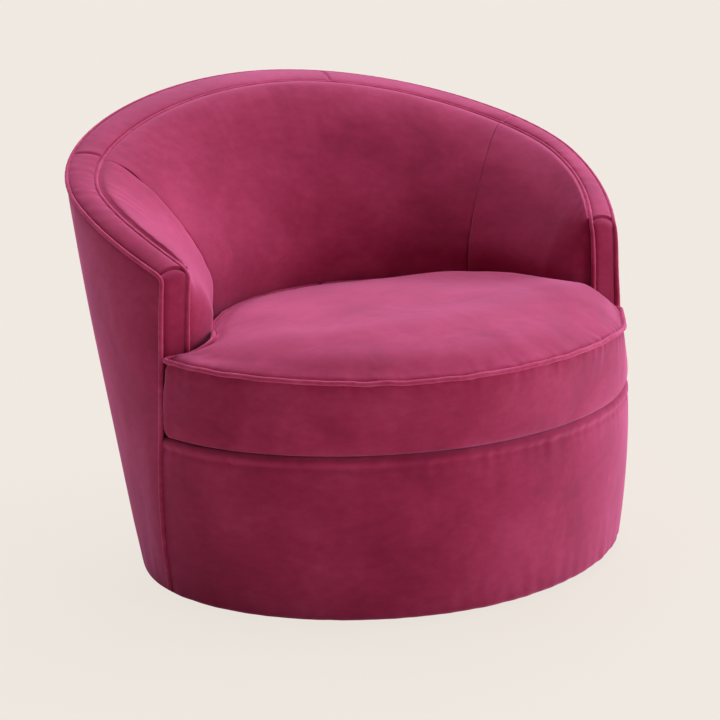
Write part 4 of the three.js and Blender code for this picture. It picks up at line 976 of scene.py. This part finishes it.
def edge_flare(height):
    """How far the drum's swelled edge stands outside the wall's edge, fading above the seat."""
    low = np.minimum(height, CREASE_HEIGHT)
    apart = drum_point(HEM_END_TURN, low, -0.001) - wall_point(1.0, low, 0.0)
    apart = apart * (1 - smooth((height - CREASE_HEIGHT) / 0.2))[..., None]
    beside_ear = smooth((height - 0.27) / 0.03) * (1 - smooth((height - 0.42) / 0.06))
    apart[..., 1] -= 0.0015 * beside_ear
    return apart


def welt_line(rim, depth, foot):
    corner = rim(1.0)[2]
    turn = CORNER_RADIUS / HEM_PACE
    sides = np.linspace(-1 + turn, 1 - turn, 400)
    halves = []
    for way in (-1, 1):
        heights = np.linspace(foot, corner - CORNER_RADIUS, 60)
        edge = wall_point(float(way), heights, depth)
        if depth == 0:
            edge += edge_flare(heights) * np.array([way, 1, 0])
        curve = bend(edge[-1], rim(float(way)), rim(way * (1 - turn)), 8)
        halves.append(np.vstack([edge, curve[1:]]))
    line = np.vstack([halves[0], rim(sides)[1:-1], halves[1][::-1]])
    # Along the rim the cord lies lower, between the crowned band and the covers.
    line[:, 2] -= RIM_CORD_DROP * smooth((line[:, 2] - ARM_HEIGHT + 0.02) / 0.02)
    return line


def make_welts():
    """Cords covered in velvet cut on the bias. They pucker a little at every few stitches."""
    lines = {
        "outer_welt": welt_line(rim_line, 0.0, HEM_HEIGHT + TUCK_RADIUS),
        "inner_welt": welt_line(inner_rim_line, ARM_WIDTH, CREASE_HEIGHT + WELT_GAP),
    }
    for seed, (name, line) in enumerate(lines.items()):
        line = spaced(line, CORD_STEP)
        size = mix(CORD_RADIUS, WELT_RADIUS, smooth((line[:, 2] - 0.5) / 0.05))
        size *= 1 + ripple(distances(line), WELT_PUCKER_SHARE, CORD_PUCKER, WELT_SEED + seed)
        welt = tube(name + "_cord", rounded(line, 1), size)
        # The cords take the lighter welt velvet, whose colours are painted highlight.
        finish_piece(welt, name, material=welt_velvet_painted_highlight)


# ---------------- the seat cushion
EAR_Y = float(wall_point(1.0, CREASE_HEIGHT, 0.0)[1]) - EAR_GAP
SEAT_CENTRE = np.array([0.0, DRUM_CENTRE_Y - PIPING_HALF_DEPTH / 3, 0.0])


def drum_arc(half_width, half_depth, height, end_y):
    end = turn_at(end_y, half_depth, DRUM_CENTRE_Y, DRUM_POWER)
    return drum_oval(np.linspace(math.pi, end, DRUM_STATIONS), half_width, half_depth, height)


def tub_arc(half_width, half_depth, height, start_y):
    start = turn_at(start_y, half_depth, TUB_CENTRE_Y)
    turns = np.linspace(start, 0, TUB_STATIONS)
    return oval(turns, half_width, half_depth, TUB_CENTRE_Y, height)


def mirrored(half):
    others = half[1:-1][::-1] * np.array([-1.0, 1.0, 1.0])
    return np.vstack([half, others])


def seat_outline(half_width, half_depth, height, front, back):
    """The seat's outline: a drum front with ears before the arms, and a round back."""
    ear_y = EAR_Y - back
    arc = drum_arc(half_width - front, half_depth - front, height, ear_y - EAR_RADIUS)
    tip = arc[-1]
    ear = bend(tip, np.array([tip[0], ear_y, height]),
               np.array([tip[0] - EAR_RADIUS, ear_y, height]), EAR_STATIONS)
    inset = PAD_CROWN + LIFT_GAP + back
    tub = tub_arc(TUB_HALF_WIDTH - inset, TUB_HALF_DEPTH - inset, height, ROLL_END_Y - back)
    groove = float(inner_rim_line(1.0)[0]) - WELT_GAP - PAD_GROOVE - LIFT_GAP - back
    notch = bend(np.array([groove, ear_y, height]), np.array([tub[0][0], ear_y, height]), tub[0],
                 NOTCH_STATIONS)
    return mirrored(np.vstack([arc, ear[1:], notch[:-1], tub]))


def crown_outline(shrink):
    inset = CROWN_RUN + shrink
    arc = drum_arc(PIPING_HALF_WIDTH - inset, PIPING_HALF_DEPTH - inset, 0.0, EAR_Y - inset / 2)
    tub_inset = PAD_CROWN + LIFT_GAP + shrink
    half_depth = TUB_HALF_DEPTH - BACK_CROWN_RUN - tub_inset
    tub = tub_arc(TUB_HALF_WIDTH - SIDE_CROWN_RUN - tub_inset, half_depth, 0.0,
                  TUB_CENTRE_Y + half_depth / 4)
    shares = np.linspace(0, 1, EAR_STATIONS + NOTCH_STATIONS + 2)[1:-1, None]
    return mirrored(np.vstack([arc, mix(arc[-1], tub[0], shares), tub]))


def cushion_outline(share, inset):
    swell = 4 * BOXING_BULGE * share * (1 - share)
    half_width = mix(CREASE_HALF_WIDTH, PIPING_HALF_WIDTH, share) + swell
    half_depth = mix(CREASE_HALF_DEPTH, PIPING_HALF_DEPTH, share) + swell
    height = mix(CREASE_HEIGHT, PIPING_HEIGHT, share)
    return seat_outline(half_width, half_depth, height, inset, inset)


def fullness(outline):
    """How fast the crown rises: slower on the ears, faster beside the arm pads."""
    count = len(outline)
    index = np.arange(count)
    place = np.minimum(index, count - index) - (DRUM_STATIONS - 1)
    at_side = np.minimum(1, np.abs(outline[:, 0]) / TUB_HALF_WIDTH) ** 3
    values = np.where(place <= EAR_STATIONS, EAR_FULLNESS, SIDE_FULLNESS * at_side)
    values = np.where(place <= 0, 0.0, values)
    for _ in range(12):
        values = (np.roll(values, 1) + 2 * values + np.roll(values, -1)) / 4
    return values


def raised(ring, height):
    """The ring at this height."""
    return np.column_stack([ring[:, :2], np.broadcast_to(height, len(ring))])


def cushion_grid(shrink):
    """Rings from the middle of the underside, out and up the boxing, and over the crown."""
    base = CREASE_HEIGHT + SEAT_GAP + shrink
    foot = cushion_outline(0.0, 2 * DRAW_IN + shrink)
    rings = [raised(mix(SEAT_CENTRE, foot, scale), base) for scale in np.linspace(0.02, 0.985, 22)]
    at = [0, 0.03, 0.12, 0.55, 0.9, 1]
    insets = [2 * DRAW_IN, DRAW_IN, 0, 0, WELT_RADIUS / 3, WELT_GAP]
    for share in np.concatenate([[0, 0.015, 0.03, 0.06], np.linspace(0.12, 0.9, 11), [0.95, 1.0]]):
        ring = cushion_outline(share, float(through(at, insets, share)) + shrink)
        ring[:, 2] = np.maximum(ring[:, 2], base) - shrink * smooth(share)
        rings.append(ring)
    rim = cushion_outline(1.0, WELT_GAP + shrink)
    inner = crown_outline(shrink)
    power = 1 + fullness(rim)
    start = PIPING_HEIGHT - shrink
    for t in np.linspace(0.03, 1, 26):
        run = t**1.4
        rise = through([0, 0.09, 0.25, 0.54, 1], [0, 0.22, 0.5, 0.77, 0.94], run)
        ring = mix(rim, inner, (run**power)[:, None])
        rings.append(raised(ring, start + CUSHION_CROWN * rise))
    for scale in np.linspace(0.95, 0.02, 20):
        rise = through([0, 0.3, 0.7, 1], [1.005, 1, 0.985, 0.94], scale)
        rings.append(raised(mix(SEAT_CENTRE, inner, scale), start + CUSHION_CROWN * rise))
    return np.array(rings)


def hill(x, y, centre, reach):
    """1 at a place in plan, falling off like a bell around it."""
    return bell(np.hypot(x - centre[0], y - centre[1]), reach)


def settled(points):
    """The cushion as it lies: it leans a little to the left, its right ear has sunk and tucked
    in, the left ear lies close against the arm, and the front edge has settled a little."""
    x, y, z = np.moveaxis(points, -1, 0)
    ring = (np.abs(x / PIPING_HALF_WIDTH) ** DRUM_POWER
            + np.abs((y - DRUM_CENTRE_Y) / PIPING_HALF_DEPTH) ** DRUM_POWER) ** (1 / DRUM_POWER)
    high = smooth((z - CREASE_HEIGHT) / (PIPING_HEIGHT - CREASE_HEIGHT))
    crown = smooth((z - PIPING_HEIGHT - 0.003) / 0.02)
    rim = bell(np.maximum(0, 1 - ring) * PIPING_HALF_WIDTH, RIM_REACH) * high
    moves = [
        (hill(x, y, RIGHT_EAR_AT, RIGHT_EAR_REACH) * rim, RIGHT_EAR_BY),
        (smooth((x - 0.36) / 0.03) * smooth((y - EAR_Y + 0.045) / 0.045) * rim, RIGHT_EAR_BACK_BY),
        (smooth((x - 0.35) / 0.04) * smooth((y + 0.235) / 0.06) * crown, -up(RIGHT_EAR_TOP_DROP)),
        (smooth((-0.40 - x) / 0.03) * smooth((y - EAR_Y + 0.03) / 0.03), LEFT_EAR_BY),
        (hill(x, y, FRONT_AT, FRONT_REACH) * rim, -up(FRONT_DROP)),
    ]
    lean = SIDE_LEAN * (smooth((x - 0.22) / 0.08) - smooth((-x - 0.05) / 0.2)) - CROWN_DROP
    moves.append((lean * smooth((y + 0.36) / 0.2) * crown, up(1)))
    # It fills the corners where the arm pads roll round to the facings.
    corner = hill(np.abs(x), y, CORNER_AT, CORNER_REACH) * high**3
    out, back, rise = CORNER_FILL
    moves.append((corner * np.sign(x), (out, 0.0, 0.0)))
    moves.append((corner, (0.0, back, 0.0)))
    moves.append((corner * (1 - 0.6 * crown), up(rise)))
    return points + sum(share[..., None] * np.array(move) for share, move in moves)


def modify(piece, kind, **settings):
    """Adds a modifier with its settings, and applies it to the mesh."""
    modifier = piece.modifiers.new(kind.lower(), kind)
    for key, value in settings.items():
        setattr(modifier, key, value)
    shape = piece.evaluated_get(bpy.context.evaluated_depsgraph_get())
    mesh = bpy.data.meshes.new_from_object(shape)
    piece.modifiers.clear()
    piece.data = mesh


def corners_of(mesh, kind="co"):
    found = np.zeros(len(mesh.vertices) * 3, np.float32)
    mesh.vertices.foreach_get(kind, found)
    return found.reshape(-1, 3).astype(float)


def move_corners(mesh, corners):
    mesh.vertices.foreach_set("co", corners.astype(np.float32).ravel())
    mesh.update()


def reach_of(line, corners):
    """For each corner, how far it is from a line and how far along the line that is."""
    tree = KDTree(len(line))
    for i, point in enumerate(line):
        tree.insert(point, i)
    tree.balance()
    along = distances(line)
    found = [tree.find(c) for c in corners]
    return np.array([f[2] for f in found]), along[np.array([f[1] for f in found])]


def stuff(piece, seams):
    """Swells a sewn cover from inside by a short cloth simulation, its seams held."""
    start = corners_of(piece.data)
    group = piece.vertex_groups.new(name="seams")
    group.add([int(i) for i in np.nonzero(seams)[0]], 1.0, "REPLACE")
    cloth = piece.modifiers.new("stuffing", "CLOTH")
    for key, value in STUFFED_VELVET.items():
        setattr(cloth.settings, key, value)
    cloth.settings.effector_weights.gravity = 0
    cloth.point_cache.frame_start = 1
    cloth.point_cache.frame_end = STUFFING_FRAMES
    scene = bpy.context.scene
    for number in range(1, STUFFING_FRAMES + 1):
        scene.frame_set(number)
    shape = piece.evaluated_get(bpy.context.evaluated_depsgraph_get())
    moved = corners_of(shape.to_mesh())
    shape.to_mesh_clear()
    piece.modifiers.clear()
    piece.vertex_groups.clear()
    scene.frame_set(1)
    shift = moved - start
    size = np.linalg.norm(shift, axis=1, keepdims=True)
    shift *= np.minimum(1, SWELL_CAP / np.maximum(size, 1e-9))
    return start, shift


def ease_crown(piece, away):
    """Evens out the crown well inside the piping, as the foam under it does."""
    corners = corners_of(piece.data)
    share = smooth((away - 0.008) / 0.03) * smooth((corners[:, 2] - PIPING_HEIGHT) / 0.01)
    group = piece.vertex_groups.new(name="crown")
    for step in range(1, 9):
        chosen = np.nonzero(np.round(share * 8) == step)[0]
        group.add([int(i) for i in chosen], step / 8, "REPLACE")
    modify(piece, "SMOOTH", vertex_group="crown", factor=0.5, iterations=90)
    piece.vertex_groups.clear()


def make_cushion():
    """The loose seat cushion: a crowned top and a boxed side with a piped seam between."""
    piece = lofted("seat_cushion_cover", cushion_grid(0.0), sharp=180)
    modify(piece, "REMESH", mode="VOXEL", voxel_size=CUSHION_VOXEL, use_smooth_shade=True)
    piping = cushion_outline(1.0, 0.0)
    piping = np.vstack([piping, piping[:1]])
    away, along = reach_of(spaced(piping, CORD_STEP), corners_of(piece.data))
    corners = corners_of(piece.data)
    base = CREASE_HEIGHT + SEAT_GAP
    held = (away < 0.009) | (corners[:, 2] < base + 0.006)
    start, shift = stuff(piece, held)
    # Behind the ears, the arm pads leave the boxing little room to swell.
    behind = smooth((start[:, 1] - (EAR_Y - 0.01)) / 0.02)
    behind *= smooth((PIPING_HEIGHT + 0.02 - start[:, 2]) / 0.02)
    shift[:, :2] *= (1 - 0.75 * behind)[:, None]
    corners = start + shift
    corners[:, 2] = np.maximum(corners[:, 2], base)
    move_corners(piece.data, corners)
    ease_crown(piece, away)
    corners, ways = corners_of(piece.data), corners_of(piece.data, "normal")
    # Puckers run out from the piping: deepest at the front, and longest down the boxing.
    front = smooth((EAR_Y - 0.02 - corners[:, 1]) / 0.06)
    below = smooth((PIPING_HEIGHT - corners[:, 2]) / 0.006)
    fade = fading(away, 0.012 + 0.004 * below) * smooth((away - 0.002) / 0.006)
    puckers = ripple(along, *CUSHION_PUCKER) * fade * (0.35 + 0.65 * front)
    wide = ripple(along, *CUSHION_FOLD) * fading(away, 0.05)
    soft = unevenness(corners, *CUSHION_STUFFING) * smooth(away / 0.05)
    flat = smooth((corners[:, 2] - CREASE_HEIGHT - 0.002) / 0.01)
    corners += ways * ((puckers + wide + soft) * flat)[:, None]
    move_corners(piece.data, settled(corners))
    modify(piece, "SMOOTH", factor=0.5, iterations=2)
    modify(piece, "SUBSURF", levels=1, render_levels=1)
    piece.data.polygons.foreach_set("use_smooth", [True] * len(piece.data.polygons))
    finish_piece(piece, "cushion_cover", "seat_cushion")


def make_piping():
    line = cushion_outline(1.0, 0.0)
    half = len(line) // 2
    loop = np.vstack([line[half:], line[:half], line[half : half + 1]])
    loop = spaced(loop, CORD_STEP)[:-1]
    along = distances(loop)
    # The cord rises and dips between stitches where the boxing is gathered to it.
    loop[:, 2] += ripple(along, *PIPING_WAVE)
    size = CORD_RADIUS * (1 + ripple(along, PIPING_PUCKER_SHARE, CORD_PUCKER, PIPING_SEED))
    piping = tube("seat_piping_cord", rounded(settled(loop), 1), size)
    # The piping takes the lighter welt velvet, whose colours are painted highlight.
    finish_piece(piping, "seat_piping", "seat_cushion", welt_velvet_painted_highlight)


def make_foam():
    grid = settled(cushion_grid(FOAM_INSET))
    keep = np.r_[0:22:3, 22:39:4, 38:85:4]
    foam = lofted("cushion_foam_block", grid[np.unique(np.clip(keep, 0, len(grid) - 1))])
    finish_piece(foam, "cushion_core", "seat_cushion", cushion_foam)


def make_deck():
    """The deck under the cushion: plain cloth over felt, quilted in long channels."""
    reach = SKIN_INSET + LIP_RADIUS + DECK_BORDER + CLOTH_GAP
    outline = seat_outline(CREASE_HALF_WIDTH, CREASE_HALF_DEPTH, 0.0, reach, 0.004)
    top = CREASE_HEIGHT - SEAT_GAP
    rings = [
        raised(mix(SEAT_CENTRE, outline, scale), DECK_UNDERSIDE)
        for scale in np.linspace(0.02, 1, 14)
    ]
    for scale in np.linspace(1, 0.02, 60):
        ring = mix(SEAT_CENTRE, outline, scale)
        channels = np.abs(np.sin(ring[:, 0] * math.pi / DECK_CHANNEL_WIDTH)) ** 0.5
        height = top - DECK_CHANNEL * (1 - channels) - DECK_EDGE_DROP * (scale > 0.998)
        rings.append(raised(ring, height))
    deck = lofted("deck_cover", np.array(rings))
    finish_piece(deck, "deck_pad", material=deck_cloth)


def make_dust_cover():
    """Black cambric stapled under the frame, with a round opening for the floor disc."""
    top = HEM_HEIGHT + SKIN_THICKNESS
    inset = SKIN_INSET + TUCK_RADIUS + TUCK_LIP + CLOTH_GAP
    turns = np.linspace(0, 2 * math.pi, 180, endpoint=False)
    outer = drum_point(turns, HEM_HEIGHT, inset)
    hole_radius = DISC_RADIUS + DISC_CLEARANCE
    hole = oval(turns, hole_radius, hole_radius, DRUM_CENTRE_Y, 0)
    shares = np.linspace(0, 1, 14)
    flat = outer[:, None] + (hole - outer)[:, None] * shares[None, :, None]
    # It hangs a little between its staples and creeps in shallow folds.
    folds = 1 + ripple(turns * 0.4, *CAMBRIC_FOLD)[:, None]
    sag = CAMBRIC_SAG * np.sin(math.pi * shares)[None, :] * folds
    flat[..., 2] = top - 0.0002 - sag
    under = flat[:, ::-1].copy()
    under[..., 2] -= CAMBRIC_THICKNESS
    cover = lofted("dust_cover_cloth", np.concatenate([flat, under], axis=1), joined=True)
    finish_piece(cover, "dust_cover", material=cambric)


# ---------------- carried-over parts
NODE_FINISHES = (
    (birch_plywood, ("floor_disc", "bottom_ring", "top_rail", "seat_ring", "swivel_board")),
    (beech, ("back_slat", "arm_post", "front_post")),
    (bent_board, ("inner_liner",)),
    (zinc_steel, ("bearing", "ball_cage", "king_pin", "lower_plate_screw", "upper_plate_bolt")),
    (spring_steel, ("seat_spring",)),
    (nylon, ("glide",)),
    (zip_tape, ("cushion_zip",)),
)


def finish_nodes():
    for name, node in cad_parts.items():
        for material, starts in NODE_FINISHES:
            if name.startswith(starts):
                for place in node.material_slots:
                    place.material = material


make_camera()
make_light()
make_floor()
make_outside_back()
make_front_panel()
make_pads()
make_band()
make_facings()
make_welts()
make_cushion()
make_piping()
make_foam()
make_deck()
make_dust_cover()
finish_nodes()
